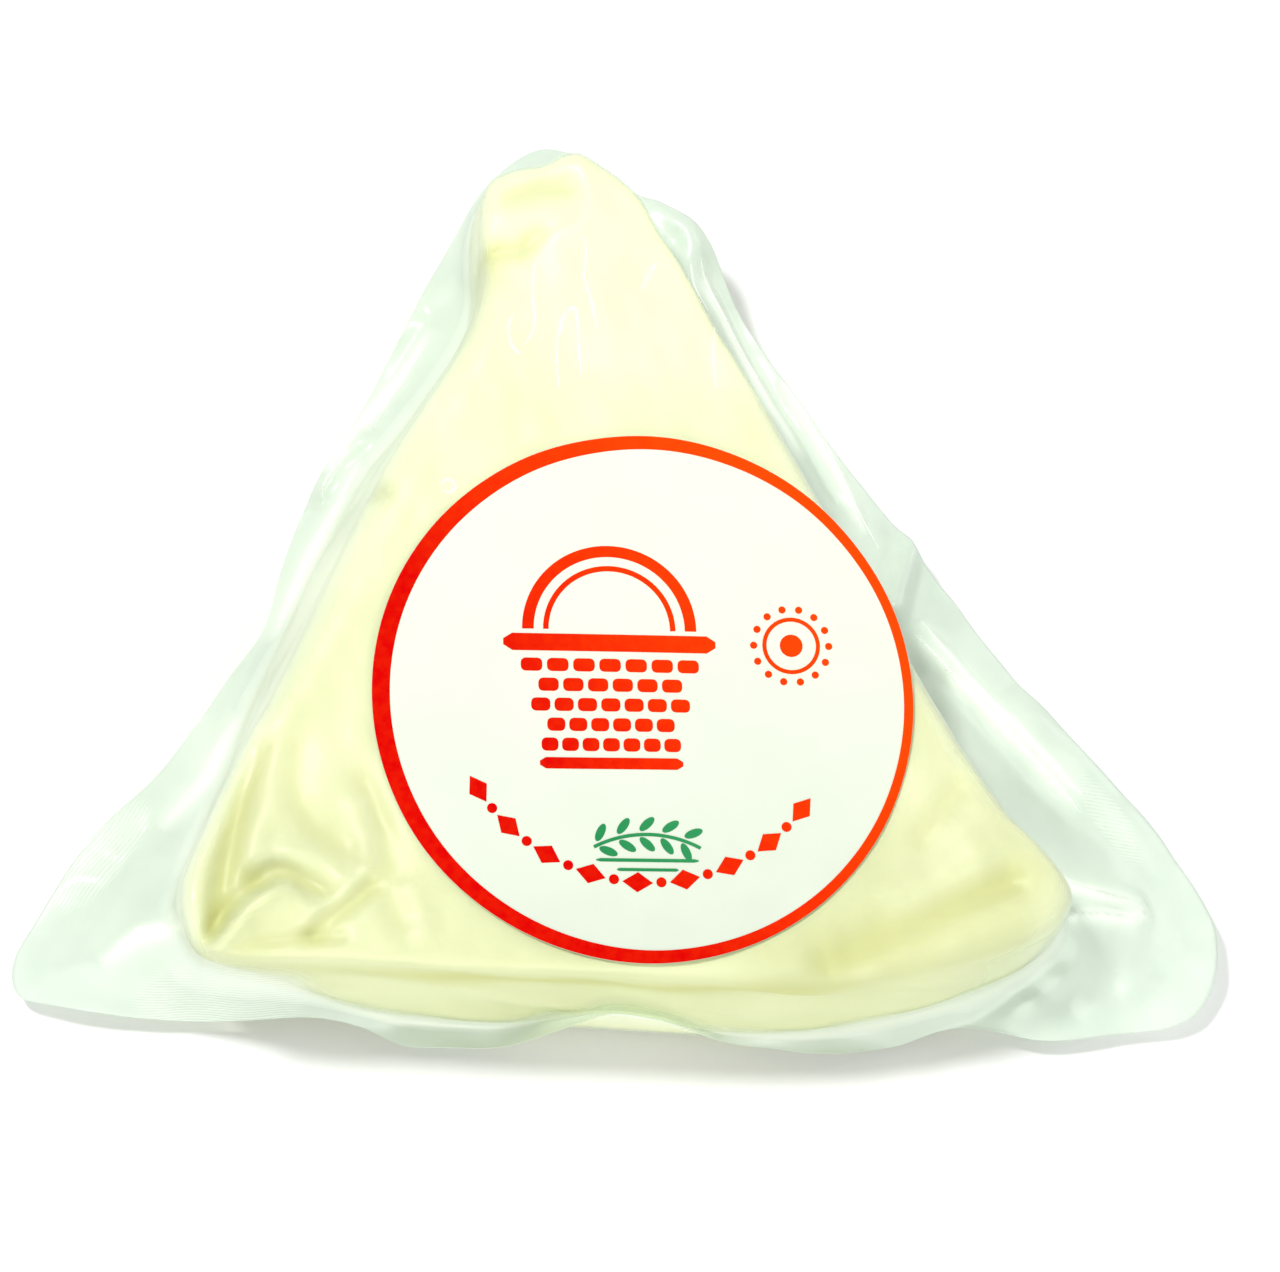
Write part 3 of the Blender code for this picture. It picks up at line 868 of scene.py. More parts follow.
def film_rings():
    """The rings of the bag: over the face, down the walls, out to the rim, and back below."""
    high, low = SHEETS_APART / 2, -SHEETS_APART / 2
    top = FACE_HEIGHT
    above_root = np.minimum(ROOT_HEIGHT + FILLET, top - TOP_ROUND - 0.6)
    rings = [ring((EDGE - TOP_ROUND) * share, top) for share in FACE_SHARES]
    rings += bent_rings((EDGE - TOP_ROUND, top), (EDGE, top), (EDGE, top - TOP_ROUND), ROUND_RINGS)
    rings += straight_rings((EDGE, top - TOP_ROUND), (WALL, above_root), WALL_RINGS)
    upper = pressed_rings(rings, FACE_RINGS + ROUND_RINGS)
    last_reach, last_height = np.hypot(upper[-1][:, 0], upper[-1][:, 1]), upper[-1][:, 2]
    skirt = bent_rings((last_reach, last_height), (WALL, ROOT_HEIGHT), skirt_corner(high),
                       FILLET_RINGS)
    first = FILLET / (RIM - WALL)
    shares = [first + (1 - first) * step for step in np.linspace(0, 1, SKIRT_RINGS + 1)[1:]]
    skirt += [skirt_ring(share, high) for share in shares]
    under = [skirt_ring(share, low) for share in shares[::-1][::2]]
    root_low = np.maximum(ROOT_HEIGHT - 1.5, 1.2)
    under += bent_rings(skirt_corner(low), (WALL, ROOT_HEIGHT - 0.6), (WALL, root_low), 3)
    back = np.minimum(BACK_ROUND, root_low * 0.9)
    under += straight_rings((WALL, root_low), (WALL, back), 4)
    under += bent_rings((WALL, back), (WALL, 0.0), (WALL - BACK_INSET, 0.0), 9)
    under += straight_rings((WALL - BACK_INSET, 0.0), (WALL * 0.1, 0.0), 6)
    return np.concatenate([upper, np.array(skirt), np.array(under)]), len(upper), len(skirt)


print("fillet where the skirt starts: up to", round(float(FILLET.max()), 1), "mm")

# %% [markdown]
# The film's finish has to know where it clings to cheese and where it hangs free. A float
# attribute on the mesh carries that: 0 on the cheese and 1 out on the skirt. Between them it
# climbs over the last part of the wall, where the film bridges to the skirt and clouds the cheese
# behind it. Along the two long sides a haze reaches a little over the edge of the face as well,
# and a table holds how strong it is. Attributes are chosen over painted masks, because they come
# from the same rings as the shape and stay with it.

# %% How far the film hangs free
VEIL_LEAST = 2.5
VEIL_OF_ROOT = 0.6
EDGE_HAZE_WIDTH = 4.5
WALL_HAZE = 1.9
SEAM_RINGS = 6
EDGE_HAZE = round_table((
    (0, 0.45), (60, 0.45), (85, 0.2), (105, 0.35), (150, 0.45), (190, 0.5), (203, 0.55),
    (208, 0.4), (212, 0.06), (216, 0.0), (221, 0.0), (228, 0.0), (310, 0.0), (326, 0.15),
    (336, 0.4), (345, 0.45),
)).clip(0, 1)


def hanging_share(rings, first_free, last_free):
    """0 where the film clings, 1 on the skirt. It climbs above the root, and falls below it."""
    levels = np.arange(len(rings))[:, None]
    start = ROOT_HEIGHT + FILLET
    span = np.minimum(VEIL_LEAST + VEIL_OF_ROOT * ROOT_HEIGHT, FACE_HEIGHT - 1 - start)
    veil = np.clip(1 - (rings[..., 2] - start) / np.maximum(span, 1.5), 0, 1)
    below = np.clip((last_free + SEAM_RINGS - levels) / SEAM_RINGS, 0, 1)
    reach = np.hypot(rings[..., 0], rings[..., 1])
    near_edge = np.clip(1 - (EDGE - reach) / EDGE_HAZE_WIDTH, 0, 1) ** 2 * EDGE_HAZE
    on_wall = np.maximum(veil * veil, np.clip(WALL_HAZE * EDGE_HAZE, 0, 1))
    turning = np.clip((levels - FACE_RINGS) / (ROUND_RINGS + 1), 0, 1)
    clinging = near_edge + (on_wall - near_edge) * turning
    return np.where(levels < first_free, clinging, below)


rings_of_film, cling_rings, open_rings = film_rings()
free = hanging_share(rings_of_film, cling_rings, cling_rings + open_rings + SKIRT_RINGS // 2)
print("film: hangs free on", int((free > 0.5).sum()), "of", free.size, "points")

# %% [markdown]
# A second attribute marks where the film is drawn whiter and milkier. On the crests of the pleats
# the sheets crowd together, and the whiter colour there is partly a painted highlight, as it is
# wholly along the line where the film lifts off the cheese. On the steep side walls and on the
# narrow skirt in front of the rind, lightest along its rim, it is painted light where the film lies
# in shade. Most of them are soft humps over rings or degrees, and the strongest one counts. Then
# both attributes go onto the mesh while the sheet is rolled up.

# %% Roll up the film
RIND_MIDDLE = 268
RIND_LEFT = 234

levels = np.arange(len(rings_of_film))[:, None]
x, y = rings_of_film[..., 0], rings_of_film[..., 1]
on_cheese = levels < cling_rings
last_open = cling_rings + open_rings - 1
# Painted highlights on the crests and the lift-off line. Painted light on the side walls and the
# front skirt and rim, which lie in shade.
crests = np.where(on_cheese, pinched_share(x, y, PINCHED_CHEESE_FOLDS) * 0.5,
                  pinched_share(x, y, PINCHED_SKIRT_FOLDS))
lift_off = hump(levels, cling_rings + 2, 1.8) * (0.4 + 0.35 * hump(DEGREES, RIND_LEFT, 13))
front_rim = 0.9 * hump(levels, last_open, 2.0) * hump(DEGREES, RIND_MIDDLE, 16)
front_skirt = 0.75 * hump(DEGREES, RIND_MIDDLE, 24) * ~on_cheese
side_wall = 0.6 * EDGE_HAZE * (on_cheese & (levels >= FACE_RINGS))
pleat = np.max([crests, lift_off, front_rim, front_skirt, side_wall], axis=0)
film = rolled_sheet("film", rings_of_film, FACE_HEIGHT, 0.0, skirt=free, pleat=pleat)

# %% [markdown]
# ## Fine creases
#
# Here and there the film is pinched into a crease as fine as a hair, which shows as a line of
# light. Such a line is too fine for the big mesh, so each is a thin tapered tube that lies half
# sunk in the film. Its flanks catch little light, so the tube is wider than the line it shows as.
# A path curve is added, its points are dropped onto the film from above, and it is made a mesh.

# %% Creases of the film
CREASE_LIFT = 0.08
CREASE_STEP = 0.9
CREASE_RADIUS = 0.65
CREASE_TIP = 0.12
ABOVE_PACK = 100.0
film_tree = BVHTree.FromObject(film, bpy.context.evaluated_depsgraph_get())


def on_film(x, y):
    """The point of the film straight below (x, y), given in millimetres, or None beside it."""
    above = Vector((x * MM, y * MM, ABOVE_PACK * MM))
    return film_tree.ray_cast(above, Vector((0, 0, -1)))[0]


def crease(name, path, width):
    """A tapered tube on the film along a path, for a line of light of this width at its middle."""
    bpy.ops.object.select_all(action="DESELECT")
    length = sum(math.dist(a, b) for a, b in zip(path, path[1:]))
    points = [on_film(x, y) for x, y in smooth_path(path, max(8, int(length / CREASE_STEP)))]
    points = [point for point in points if point]
    bpy.ops.curve.primitive_nurbs_path_add()
    piece = named(name)
    piece.data.splines.clear()
    spline = piece.data.splines.new("POLY")
    spline.points.add(len(points) - 1)
    for k, point in enumerate(points):
        spline.points[k].co = (point.x, point.y, point.z + CREASE_LIFT * MM, 1)
        taper = math.sin(math.pi * (k + 0.5) / len(points)) ** 0.6
        spline.points[k].radius = max(CREASE_TIP, taper)
    piece.data.bevel_depth = width * CREASE_RADIUS * MM
    piece.data.bevel_resolution = 1
    piece.data.use_fill_caps = True
    only(piece)
    bpy.ops.object.convert(target="MESH")
    return bpy.context.object


FINE_CREASES = (
    # On the face near the point
    (0.35, ((-7.7, 71.3), (-7.4, 68.4), (-7.8, 65.5), (-6.8, 61.3), (-5.9, 56.3))),
    (0.50, ((-11.8, 47.3), (-12.1, 53.3), (-11.0, 58.6), (-9.4, 60.2), (-8.9, 57.4), (-8.5, 49.1))),
    (0.40, ((-14.9, 68.2), (-15.6, 63.1), (-15.4, 57.1), (-16.8, 54.2))),
    (0.75, ((3.2, 67.7), (2.1, 65.8), (1.0, 63.6))),
    (0.35, ((12.0, 58.0), (11.5, 53.0), (12.0, 48.0))),
    (0.45, ((-18.7, 58.4), (-19.4, 56.6), (-18.8, 53.8), (-17.5, 52.4))),
    (0.40, ((-29.7, 32.0), (-28.6, 32.8), (-27.4, 31.7), (-28.3, 30.6), (-29.3, 31.0))),
    # On the skirt to the right
    (0.60, ((46.4, 18.5), (52.6, 11.8), (57.5, 6.8), (61.4, 2.9), (63.0, 1.0), (66.4, -2.6),
            (70.6, -6.9), (71.9, -8.7))),
    (0.60, ((47.6, 20.6), (54.8, 11.8), (61.0, 5.4), (66.5, -0.4), (70.7, -4.7), (72.4, -6.1))),
    (0.40, ((11.7, 75.7), (12.2, 72.0), (14.6, 67.3))),
    (0.40, ((13.2, 77.2), (14.1, 73.5), (15.5, 70.6), (22.5, 58.0))),
    (0.35, ((26.3, 58.7), (32.4, 48.8), (35.0, 43.5), (38.8, 35.4))),
    (0.30, ((33.4, 48.8), (37.6, 39.8), (41.5, 32.4))),
    # On the skirt to the left
    (0.40, ((-39.6, 43.4), (-42.6, 36.9), (-47.2, 28.1), (-51.7, 17.4))),
    (0.30, ((-37.8, 48.5), (-33.3, 56.2), (-29.2, 62.0))),
    (0.30, ((-44.9, 36.9), (-45.0, 39.9), (-41.9, 44.2))),
)
creases = joined("film_creases", [crease(f"crease_{k}", path, width)
                                  for k, (width, path) in enumerate(FINE_CREASES)])
print("film creases:", len(FINE_CREASES), "lines,", len(creases.data.polygons), "faces")

# %% [markdown]
# ## Finishes
#
# A finish is a tree of shader nodes. A few helpers keep such a tree short to write: one adds a
# node and fills or links its inputs, and the others add up, multiply and mix what the nodes give.

# %% Node helpers
def node(tree, kind, values=None, **settings):
    """Adds a node, sets its properties, and fills or links its inputs from a dictionary."""
    made = tree.nodes.new(kind)
    for name, value in settings.items():
        setattr(made, name, value)
    for name, value in (values or {}).items():
        if isinstance(value, bpy.types.NodeSocket):
            tree.links.new(value, made.inputs[name])
        else:
            made.inputs[name].default_value = value
    return made


def maths(tree, operation, first, second=0.0, clamp=False):
    """One step of arithmetic, cut to between 0 and 1 where clamp is set."""
    return node(tree, "ShaderNodeMath", {0: first, 1: second}, operation=operation,
                use_clamp=clamp).outputs[0]


def times(tree, first, second):
    """The product of two values."""
    return maths(tree, "MULTIPLY", first, second)


def plus(tree, *terms, clamp=False):
    """The sum of all the terms, one after the other."""
    total = terms[0]
    for term in terms[1:]:
        total = maths(tree, "ADD", total, term, clamp)
    return total


def mapped(tree, value, low, high, **settings):
    """0 where the value is low, 1 where it is high, and a climb between."""
    return node(tree, "ShaderNodeMapRange", {"Value": value, "From Min": low, "From Max": high},
                **settings).outputs["Result"]


def mixed(tree, share, first, second):
    """A colour between two others."""
    return node(tree, "ShaderNodeMix", {0: share, 6: first, 7: second},
                data_type="RGBA").outputs[2]


def blended(tree, share, first, second):
    """A shader between two others."""
    return node(tree, "ShaderNodeMixShader", {0: share, 1: first.outputs[0],
                                              2: second.outputs[0]})


def marked(tree, name):
    """A float attribute of the mesh."""
    return node(tree, "ShaderNodeAttribute", attribute_name=name).outputs["Fac"]


def parted(tree, vector):
    """The X, Y and Z of a vector."""
    return node(tree, "ShaderNodeSeparateXYZ", {0: vector}).outputs


# %% [markdown]
# Every material starts the same way, with an output and the piece's own Object coordinates, which
# are metres from the part's origin. So a pattern has one scale everywhere and needs no unwrapping.
# A node group starts with its named sockets.

# %% Materials and groups
def empty_material(name):
    """A material with its output node and the piece's own coordinates."""
    made = bpy.data.materials.new(name)
    made.use_nodes = True
    made.node_tree.nodes.clear()
    output = made.node_tree.nodes.new("ShaderNodeOutputMaterial")
    place = made.node_tree.nodes.new("ShaderNodeTexCoord").outputs["Object"]
    return made, made.node_tree, output, place


def new_group(name, inputs, outputs):
    """A shader node group with named sockets: (name, kind, value) in, (name, kind) out."""
    tree = bpy.data.node_groups.new(name, "ShaderNodeTree")
    for title, kind, value in inputs:
        socket = tree.interface.new_socket(title, in_out="INPUT", socket_type=kind)
        if value is not None:
            socket.default_value = value
    for title, kind in outputs:
        tree.interface.new_socket(title, in_out="OUTPUT", socket_type=kind)
    return tree, tree.nodes.new("NodeGroupInput").outputs, tree.nodes.new("NodeGroupOutput")


def placed_group(tree, group, values):
    """The outputs of a shared group, placed with these values."""
    return node(tree, "ShaderNodeGroup", values, node_tree=group).outputs


# %% [markdown]
# Effects that several finishes share are node groups, built once and given other values in each:
# a cloudy mottle with a fine grain, and the pressed channels that a vacuum bag has on its inside.
# They give only masks. The shaders themselves stay in each material.

# %% Shared effects
SWAY_PITCH = 430.0
SWAY_WIDTH = 0.0003


def mottle_group():
    """A cloudy mask between 0 and 1, with a finer grain for the bump."""
    tree, given, out = new_group(
        "mottle", (("Vector", "NodeSocketVector", None), ("Cloud Scale", "NodeSocketFloat", 60.0),
                   ("Grain Scale", "NodeSocketFloat", 900.0)),
        (("Cloud", "NodeSocketFloat"), ("Grain", "NodeSocketFloat")))
    cloud = node(tree, "ShaderNodeTexNoise", {
        "Vector": given["Vector"], "Scale": given["Cloud Scale"], "Detail": 2.0,
        "Roughness": 0.55})
    grain = node(tree, "ShaderNodeTexNoise", {
        "Vector": given["Vector"], "Scale": given["Grain Scale"], "Detail": 1.0})
    tree.links.new(mapped(tree, cloud.outputs["Fac"], 0.35, 0.65), out.inputs["Cloud"])
    tree.links.new(grain.outputs["Fac"], out.inputs["Grain"])
    return tree


def channel_group():
    """Fine wavy ridges across one direction, kept to a soft oval patch."""
    tree, given, out = new_group(
        "channels", (("Vector", "NodeSocketVector", None),
                     ("Centre", "NodeSocketVector", (0.0, 0.0, 0.0)),
                     ("Turn", "NodeSocketVector", (0.0, 0.0, 0.0)),
                     ("Stretch", "NodeSocketFloat", 1.0),
                     ("Radius", "NodeSocketFloat", 0.01), ("Pitch", "NodeSocketFloat", 500.0),
                     ("Slant", "NodeSocketFloat", 0.0)),
        (("Ridges", "NodeSocketFloat"), ("Patch", "NodeSocketFloat")))
    from_centre = node(tree, "ShaderNodeVectorMath", {0: given["Vector"], 1: given["Centre"]},
                       operation="SUBTRACT").outputs[0]
    turned = node(tree, "ShaderNodeVectorRotate", {"Vector": from_centre,
                                                   "Rotation": given["Turn"]},
                  rotation_type="EULER_XYZ").outputs[0]
    along, across, _ = parted(tree, turned)
    wide = maths(tree, "DIVIDE", along, given["Stretch"])
    squares = plus(tree, times(tree, wide, wide), times(tree, across, across))
    away = maths(tree, "DIVIDE", maths(tree, "SQRT", squares), given["Radius"])
    patch = mapped(tree, away, 1.0, 0.6, interpolation_type="SMOOTHSTEP")
    sway = maths(tree, "SINE", times(tree, along, SWAY_PITCH))
    bent = plus(tree, across, times(tree, along, given["Slant"]), times(tree, sway, SWAY_WIDTH))
    wave = maths(tree, "SINE", times(tree, bent, given["Pitch"]))
    tree.links.new(mapped(tree, wave, -1.0, 1.0), out.inputs["Ridges"])
    tree.links.new(patch, out.inputs["Patch"])
    return tree


mottle = mottle_group()
channels = channel_group()
print("shared effects:", mottle.name, "and", channels.name)

# %% [markdown]
# ### Cheese
#
# Fresh cheese lets light in a little way, so it has some subsurface scattering, and film pressed
# on it shines like a wet coat. Its colour goes from a paler tone near the point to a darker cream
# near the rind, which is painted shade. The grooves and the band under the rind's edge are
# painted a darker yellow as shade.

# %% Finish of the cheese
# The cream near the rind and the darker yellow of the grooves are painted shade. The pale tone is
# the cheese in full light.
CREAM_IN_PAINTED_SHADE = (0.61, 0.612, 0.345, 1)
PALE = (0.89, 0.87, 0.60, 1)
PAINTED_SHADE_YELLOW = (0.53, 0.515, 0.17, 1)


def cheese_finish():
    """Painted shade toward the rind and in the grooves, a faint grain and a wet coat."""
    made, tree, output, place = empty_material("packed_cheese")
    cloudy = placed_group(tree, mottle, {"Vector": place, "Cloud Scale": 42.0,
                                         "Grain Scale": 700.0})
    # Painted shade: the tone darkens toward the rind end of the face.
    up_face = mapped(tree, parted(tree, place)["Y"], -0.05, 0.06)
    tone = plus(tree, times(tree, cloudy["Cloud"], 0.3), times(tree, up_face, 0.8), clamp=True)
    in_groove = times(tree, marked(tree, "groove"), 0.7)
    paste = mixed(tree, in_groove, mixed(tree, tone, CREAM_IN_PAINTED_SHADE, PALE), PAINTED_SHADE_YELLOW)
    bump = node(tree, "ShaderNodeBump", {"Height": cloudy["Grain"], "Strength": 0.12,
                                         "Distance": 0.0004})
    shader = node(tree, "ShaderNodeBsdfPrincipled", {
        "Base Color": paste, "Roughness": 0.5, "Subsurface Weight": 0.3,
        "Subsurface Radius": (1.0, 0.8, 0.35), "Subsurface Scale": 0.003, "Coat Weight": 0.08,
        "Coat Roughness": 0.3, "Normal": bump.outputs["Normal"]}, subsurface_method="BURLEY")
    tree.links.new(shader.outputs[0], output.inputs["Surface"])
    return made


cheese.data.materials.append(cheese_finish())
print("finish of", cheese.name, "is", cheese.data.materials[0].name)

# %% [markdown]
# ### Film
#
# Two sheets of vacuum film are clear with a faint green cast and a little haze. The finish mixes
# a tinted transparent shader with a milky glossy one, which also lets light glow through it from
# behind. The milky share rises on the free skirt and wherever the film is seen at a low angle, as
# it does on every clear sheet. For shadows a plain tint stands in for all that, which keeps them
# quick to trace.

# %% Finish of the film
FILM_TINT = (0.945, 0.978, 0.93, 1)
FILM_HAZE = (0.765, 0.845, 0.765, 1)
FILM_WHITE = (0.93, 0.98, 0.90, 1)
CLING_SHADE = (0.95, 0.96, 0.94, 1)
SKIRT_SHADE = (0.45, 0.46, 0.44, 1)
THROUGH = 0.35
SKIRT_MILK = 0.8
LOW_ANGLE_MILK = 0.12
PLEAT_AND_PAINTED_LIGHT_MILK = 0.3
CHANNEL_MILK = 0.2
CHANNEL_PATCHES = (
    # Centre, turn, stretch, radius, pitch and slant of each patch of pressed channels
    ((0.0766, -0.0098, 0.007), (0.0, 0.0, 0.974), 3.6, 0.0026, 8000.0, -1.065),
    ((-0.0780, -0.0170, 0.005), (0.0, 0.0, -0.93), 2.6, 0.0045, 10500.0, 0.0),
    ((-0.0600, -0.0390, 0.009), (-0.31, 0.0, 0.0), 2.0, 0.0075, 13000.0, 0.0),
)


def channel_marks(tree, place):
    """The ridges of all the patches of pressed channels together."""
    ridges = []
    for centre, turn, stretch, radius, pitch, slant in CHANNEL_PATCHES:
        pressed = placed_group(tree, channels, {"Vector": place, "Centre": centre, "Turn": turn,
                                                "Stretch": stretch, "Radius": radius,
                                                "Pitch": pitch, "Slant": slant})
        ridges.append(times(tree, pressed["Ridges"], pressed["Patch"]))
    return plus(tree, *ridges)


def film_finish():
    """Clear where it clings, milky on the skirt, whiter on channels, and painted light where
    marked.
    """
    made, tree, output, place = empty_material("clear_film")
    grain = placed_group(tree, mottle, {"Vector": place, "Cloud Scale": 60.0,
                                        "Grain Scale": 260.0})
    skirt = marked(tree, "skirt")
    pleat = marked(tree, "pleat")
    marks = times(tree, channel_marks(tree, place), skirt)
    height = plus(tree, times(tree, grain["Grain"], 0.35), times(tree, marks, 0.6))
    bump = node(tree, "ShaderNodeBump", {"Height": height, "Strength": 0.5, "Distance": 0.0004})
    low_angle = node(tree, "ShaderNodeLayerWeight", {"Blend": 0.25}).outputs["Facing"]
    share = plus(tree, times(tree, skirt, SKIRT_MILK), times(tree, low_angle, LOW_ANGLE_MILK),
                 times(tree, pleat, PLEAT_AND_PAINTED_LIGHT_MILK), times(tree, marks, CHANNEL_MILK), clamp=True)
    # Whiter on the marked places, which is painted highlight and painted light, and on the
    # channels.
    whiter = plus(tree, times(tree, pleat, 0.9), times(tree, grain["Cloud"], 0.35),
                  times(tree, marks, 0.5), clamp=True)
    milky = mixed(tree, whiter, FILM_HAZE, FILM_WHITE)
    gloss = node(tree, "ShaderNodeBsdfPrincipled", {
        "Base Color": milky, "Roughness": 0.3, "IOR": 1.5, "Coat Weight": 0.2,
        "Coat Roughness": 0.08, "Normal": bump.outputs["Normal"]})
    glow = node(tree, "ShaderNodeBsdfTranslucent", {"Color": milky})
    clear = node(tree, "ShaderNodeBsdfTransparent", {"Color": FILM_TINT})
    seen = blended(tree, share, clear, blended(tree, THROUGH, gloss, glow))
    # Where the mark is set, the film casts less shade, so the rind behind the front skirt stays
    # light.
    casts_shade = times(tree, skirt, plus(tree, times(tree, pleat, -1.2), 1.0, clamp=True))
    shade = node(tree, "ShaderNodeBsdfTransparent", {
        "Color": mixed(tree, casts_shade, CLING_SHADE, SKIRT_SHADE)})
    in_shadow = node(tree, "ShaderNodeLightPath").outputs["Is Shadow Ray"]
    both = blended(tree, in_shadow, seen, shade)
    tree.links.new(both.outputs[0], output.inputs["Surface"])
    return made


film.data.materials.append(film_finish())

# %% [markdown]
# A crease's line of light is a painted highlight: the film drawn in a whitish colour. Its share is
# uneven along its length, so that the line comes and goes, and it casts no shadow.

# %% Finish of the creases
def crease_finish():
    """A faint broken painted glint on clear film."""
    made, tree, output, place = empty_material("crease_painted_glint")
    cloudy = placed_group(tree, mottle, {"Vector": place, "Cloud Scale": 400.0})
    gloss = node(tree, "ShaderNodeBsdfPrincipled", {
        "Base Color": (0.97, 0.99, 0.93, 1), "Roughness": 0.3, "IOR": 1.6})
    clear = node(tree, "ShaderNodeBsdfTransparent", {"Color": (1, 1, 1, 1)})
    share = plus(tree, times(tree, cloudy["Cloud"], 0.3), 0.15)
    seen = maths(tree, "SUBTRACT", 1.0, node(tree, "ShaderNodeLightPath").outputs["Is Shadow Ray"])
    both = blended(tree, times(tree, share, seen), clear, gloss)
    tree.links.new(both.outputs[0], output.inputs["Surface"])
    return made


creases.data.materials.append(crease_finish())
print("finishes of the film:", film.data.materials[0].name, "and", creases.data.materials[0].name)

# %% [markdown]
# ### Paper and inks
#
# The paper is smooth and white with a faint cloudiness, and a touch greyer near the rind, where
# it leans away from the light. The inks lie a little unevenly, as they do on a short print run, so
# each mottles between two near tones. Across the label each also goes from a darker tone at the
# lower left to a brighter one at the upper right, which is painted shade and painted light.

# %% Finish of the label
PAPER_GREY = (0.58, 0.64, 0.53, 1)
PAPER_WHITE = (0.735, 0.79, 0.65, 1)
RED_IN_PAINTED_SHADE = (0.58, 0.0004, 0.0002, 1)
RED_IN_PAINTED_LIGHT = (0.93, 0.055, 0.001, 1)
GREEN_IN_PAINTED_SHADE = (0.02, 0.22, 0.07, 1)
GREEN_IN_PAINTED_LIGHT = (0.05, 0.32, 0.12, 1)


def paper_finish():
    """Smooth paper, greyer near the rind and whiter from the middle on."""
    made, tree, output, place = empty_material("label_paper")
    cloudy = placed_group(tree, mottle, {"Vector": place, "Cloud Scale": 90.0,
                                         "Grain Scale": 2600.0})
    bump = node(tree, "ShaderNodeBump", {"Height": cloudy["Grain"], "Strength": 0.1,
                                         "Distance": 0.0002})
    up_label = mapped(tree, parted(tree, place)["Y"], -0.045, 0.02)
    tone = plus(tree, times(tree, cloudy["Cloud"], 0.15), times(tree, up_label, 0.85), clamp=True)
    shader = node(tree, "ShaderNodeBsdfPrincipled", {
        "Base Color": mixed(tree, tone, PAPER_GREY, PAPER_WHITE),
        "Roughness": 0.55, "Specular IOR Level": 0.3, "Normal": bump.outputs["Normal"]})
    tree.links.new(shader.outputs[0], output.inputs["Surface"])
    return made


def ink_finish(name, lower_left, upper_right):
    """Ink with painted shade at the lower left, painted light at the upper right, and a faint
    mottle.
    """
    made, tree, output, place = empty_material(name)
    cloudy = placed_group(tree, mottle, {"Vector": place, "Cloud Scale": 700.0})
    spot = parted(tree, place)
    # Painted light: brighter toward the upper right, darker toward the lower left.
    across = mapped(tree, plus(tree, spot["X"], times(tree, spot["Y"], 0.7)), -0.022, 0.042)
    painted_light_and_mottle = plus(tree, across, times(tree, cloudy["Cloud"], 0.12), clamp=True)
    shader = node(tree, "ShaderNodeBsdfPrincipled", {
        "Base Color": mixed(tree, painted_light_and_mottle, lower_left, upper_right), "Roughness": 0.7,
        "Specular IOR Level": 0.02})
    tree.links.new(shader.outputs[0], output.inputs["Surface"])
    return made


label.data.materials.append(paper_finish())
red_print.data.materials.append(ink_finish("label_red", RED_IN_PAINTED_SHADE, RED_IN_PAINTED_LIGHT))
green_print.data.materials.append(ink_finish("label_green", GREEN_IN_PAINTED_SHADE, GREEN_IN_PAINTED_LIGHT))
print("finishes of the label:", [piece.data.materials[0].name
                                 for piece in (label, red_print, green_print)])

# %% [markdown]
# ## Tie the pieces to the frame
#
# Nothing in the pack moves, so every piece rides on its one body. The cheese, the film and the
# creases stand for the solid pack, and the paper and its print for the solid label.

# %% Ride and replace
in_pack = ((cheese, "packed_cheese"), (film, "clear_film"), (creases, "clear_film"))
on_label = ((label, "label_paper"), (red_print, "label_red"), (green_print, "label_green"))
for piece, slot in in_pack:
    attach(piece, "root")
    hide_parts("vacuum_pack")
for piece, slot in on_label:
    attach(piece, "root")
    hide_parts("label")
print("pieces on the frame:", [piece.name for piece, slot in in_pack + on_label])

# %% [markdown]
# ## Floor
#
# The pack lies on a plain white table, as in a catalogue. One plane is enough, because the picture
# shows no edge of it. It lies a fifth of a millimetre low, so that it never meets the pack's back.

# %% Floor
FLOOR_SIZE = 6.0
FLOOR_GAP = 0.2

bpy.ops.object.select_all(action="DESELECT")
bpy.ops.mesh.primitive_plane_add(size=FLOOR_SIZE, location=(0, 0, -FLOOR_GAP * MM))
floor = named("floor")
floor_finish, tree, output, place = empty_material("white_floor")
floor_shader = node(tree, "ShaderNodeBsdfPrincipled", {"Base Color": (0.86, 0.86, 0.86, 1),
                                                       "Roughness": 0.9,
                                                       "Specular IOR Level": 0.1})
tree.links.new(floor_shader.outputs[0], output.inputs["Surface"])
floor.data.materials.append(floor_finish)
print("floor:", [round(value, 2) for value in floor.dimensions], "m")

# %% [markdown]
# ## Light
#
# A lamp high on the upper left throws the shadow. Low wide lamps in front and to the right light
# the walls and the film, and a bright plain surround fills the rest, as a light tent does.

# %% Lights
LIT_SPOT = Vector((0, 0.02, 0))
SURROUND_STRENGTH = 0.52


def soft_light(name, place, size, watts):
    """A round lamp of this size in metres that shines on the pack."""
    bpy.ops.object.select_all(action="DESELECT")
    bpy.ops.object.light_add(type="AREA", location=place)
    lamp = named(name)
    lamp.data.shape = "DISK"
    lamp.data.size = size
    lamp.data.energy = watts
    lamp.rotation_euler = (LIT_SPOT - Vector(place)).to_track_quat("-Z", "Y").to_euler()
    return lamp


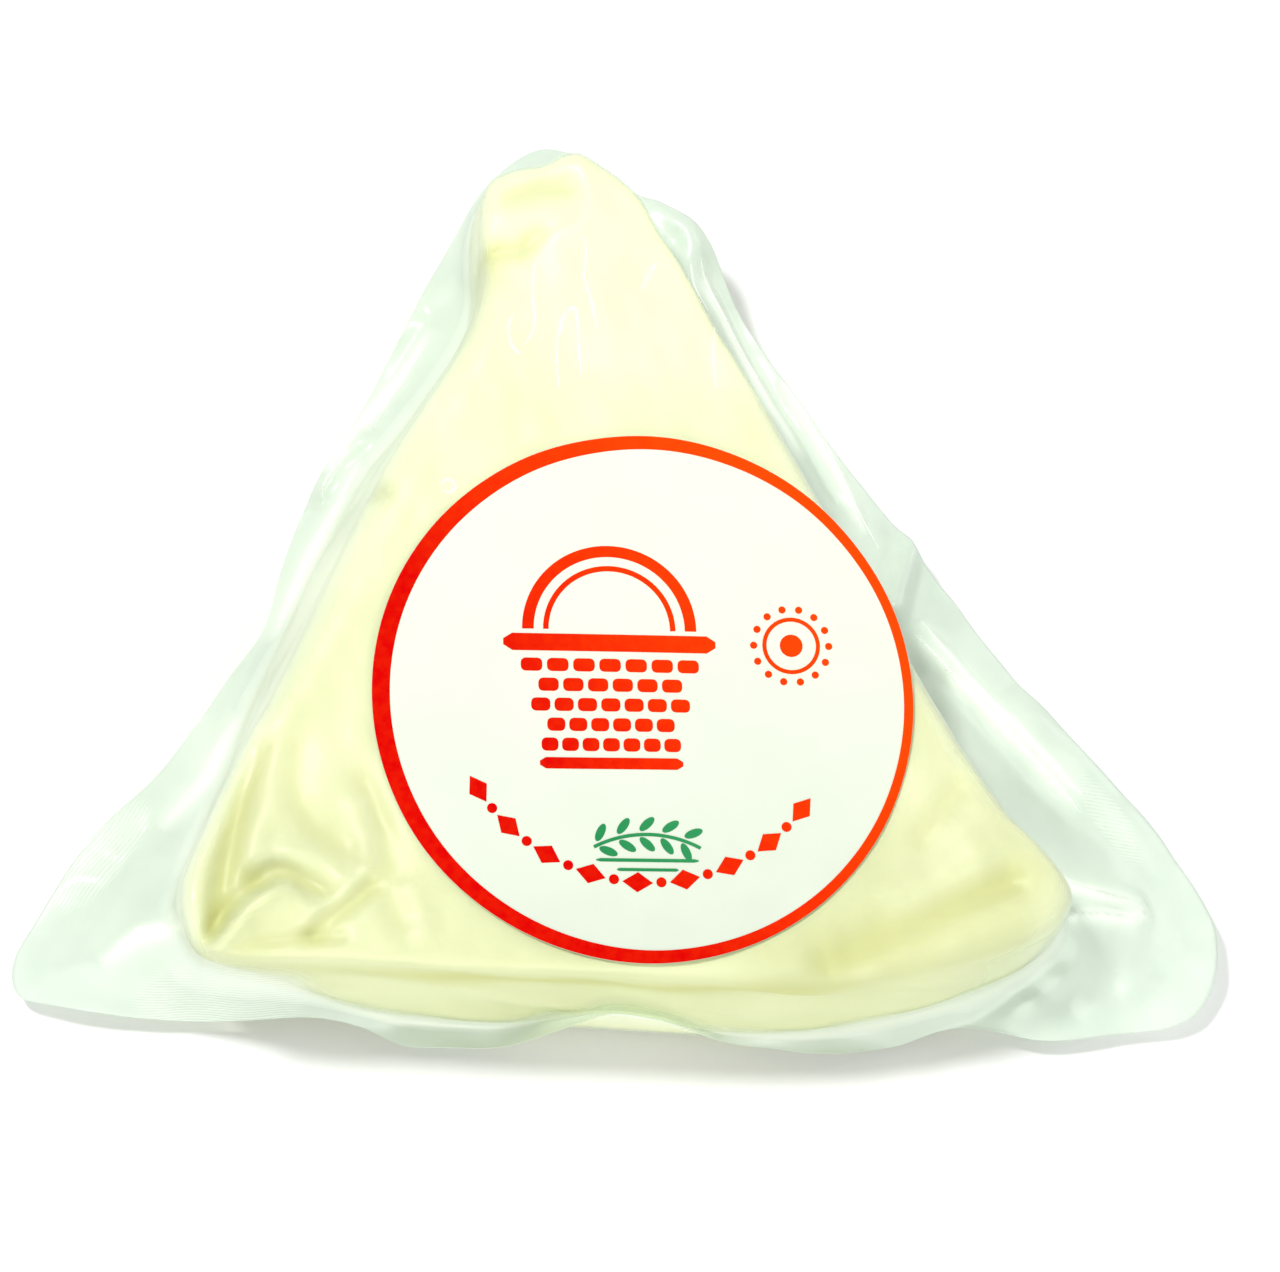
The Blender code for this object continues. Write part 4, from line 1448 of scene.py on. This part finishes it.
lamps = (soft_light("key_light", (-0.48, 0.20, 1.15), 0.13, 11),
         soft_light("front_light", (0.05, -1.6, 0.5), 1.2, 16),
         soft_light("right_light", (1.3, 0.7, 0.7), 1.0, 6))
print("lamps:", {lamp.name: lamp.data.energy for lamp in lamps})
world = bpy.context.scene.world or bpy.data.worlds.new("surround")
bpy.context.scene.world = world
world.use_nodes = True
world.node_tree.nodes["Background"].inputs["Color"].default_value = (1, 1, 1, 1)
world.node_tree.nodes["Background"].inputs["Strength"].default_value = SURROUND_STRENGTH
bpy.context.scene.view_settings.view_transform = "Standard"

# %% [markdown]
# ## Camera
#
# The camera looks down from the front left, close to upright, through a long lens, and is rolled
# so that the wedge stands upright in the picture. The label sets its place: a circle of known size
# shows in the photograph as an ellipse, whose two widths give the camera's height angle, and whose
# middle and width in pixels give where the camera stands and how long its lens is.

# %% Camera
CAMERA_RISE = math.radians(72.3)
CAMERA_FROM = math.radians(243.4)
CAMERA_DISTANCE = 0.7
FRAME_WIDTH = 1280
FRAME_MIDDLE = (640, 636)
LABEL_PIXEL = (643.9, 696.7)
LABEL_HALF_WIDTH_PIXELS = 273.06


def camera_axes():
    """Right, up and forward of the camera, rolled so that the wedge's point is up."""
    turn = CAMERA_FROM - math.pi
    away = Vector((math.cos(turn), math.sin(turn), 0))
    across = Vector((math.sin(turn), -math.cos(turn), 0))
    up_slope = away * math.sin(CAMERA_RISE) + Vector((0, 0, math.cos(CAMERA_RISE)))
    forward = away * math.cos(CAMERA_RISE) - Vector((0, 0, math.sin(CAMERA_RISE)))
    right = up_slope * math.cos(turn) + across * math.sin(turn)
    up = up_slope * math.sin(turn) - across * math.cos(turn)
    return right, up, forward


bpy.ops.object.select_all(action="DESELECT")
bpy.ops.object.camera_add()
camera = named("camera")
right, up, forward = camera_axes()
pixel = LABEL_RADIUS * MM / LABEL_HALF_WIDTH_PIXELS
sideways = (LABEL_PIXEL[0] - FRAME_MIDDLE[0]) * pixel
upwards = (FRAME_MIDDLE[1] - LABEL_PIXEL[1]) * pixel
centre = Vector((0, 0, FACE_HEIGHT * MM)) - forward * CAMERA_DISTANCE
centre = centre - right * sideways - up * upwards
turned = Matrix((right, up, -forward)).transposed().to_4x4()
camera.matrix_world = Matrix.Translation(centre) @ turned
camera.data.lens = camera.data.sensor_width * CAMERA_DISTANCE / (FRAME_WIDTH * pixel)
camera.data.clip_start = 0.01
camera.data.clip_end = 20
bpy.context.scene.camera = camera
print("camera:", [round(value, 3) for value in centre], "lens", round(camera.data.lens, 1), "mm")
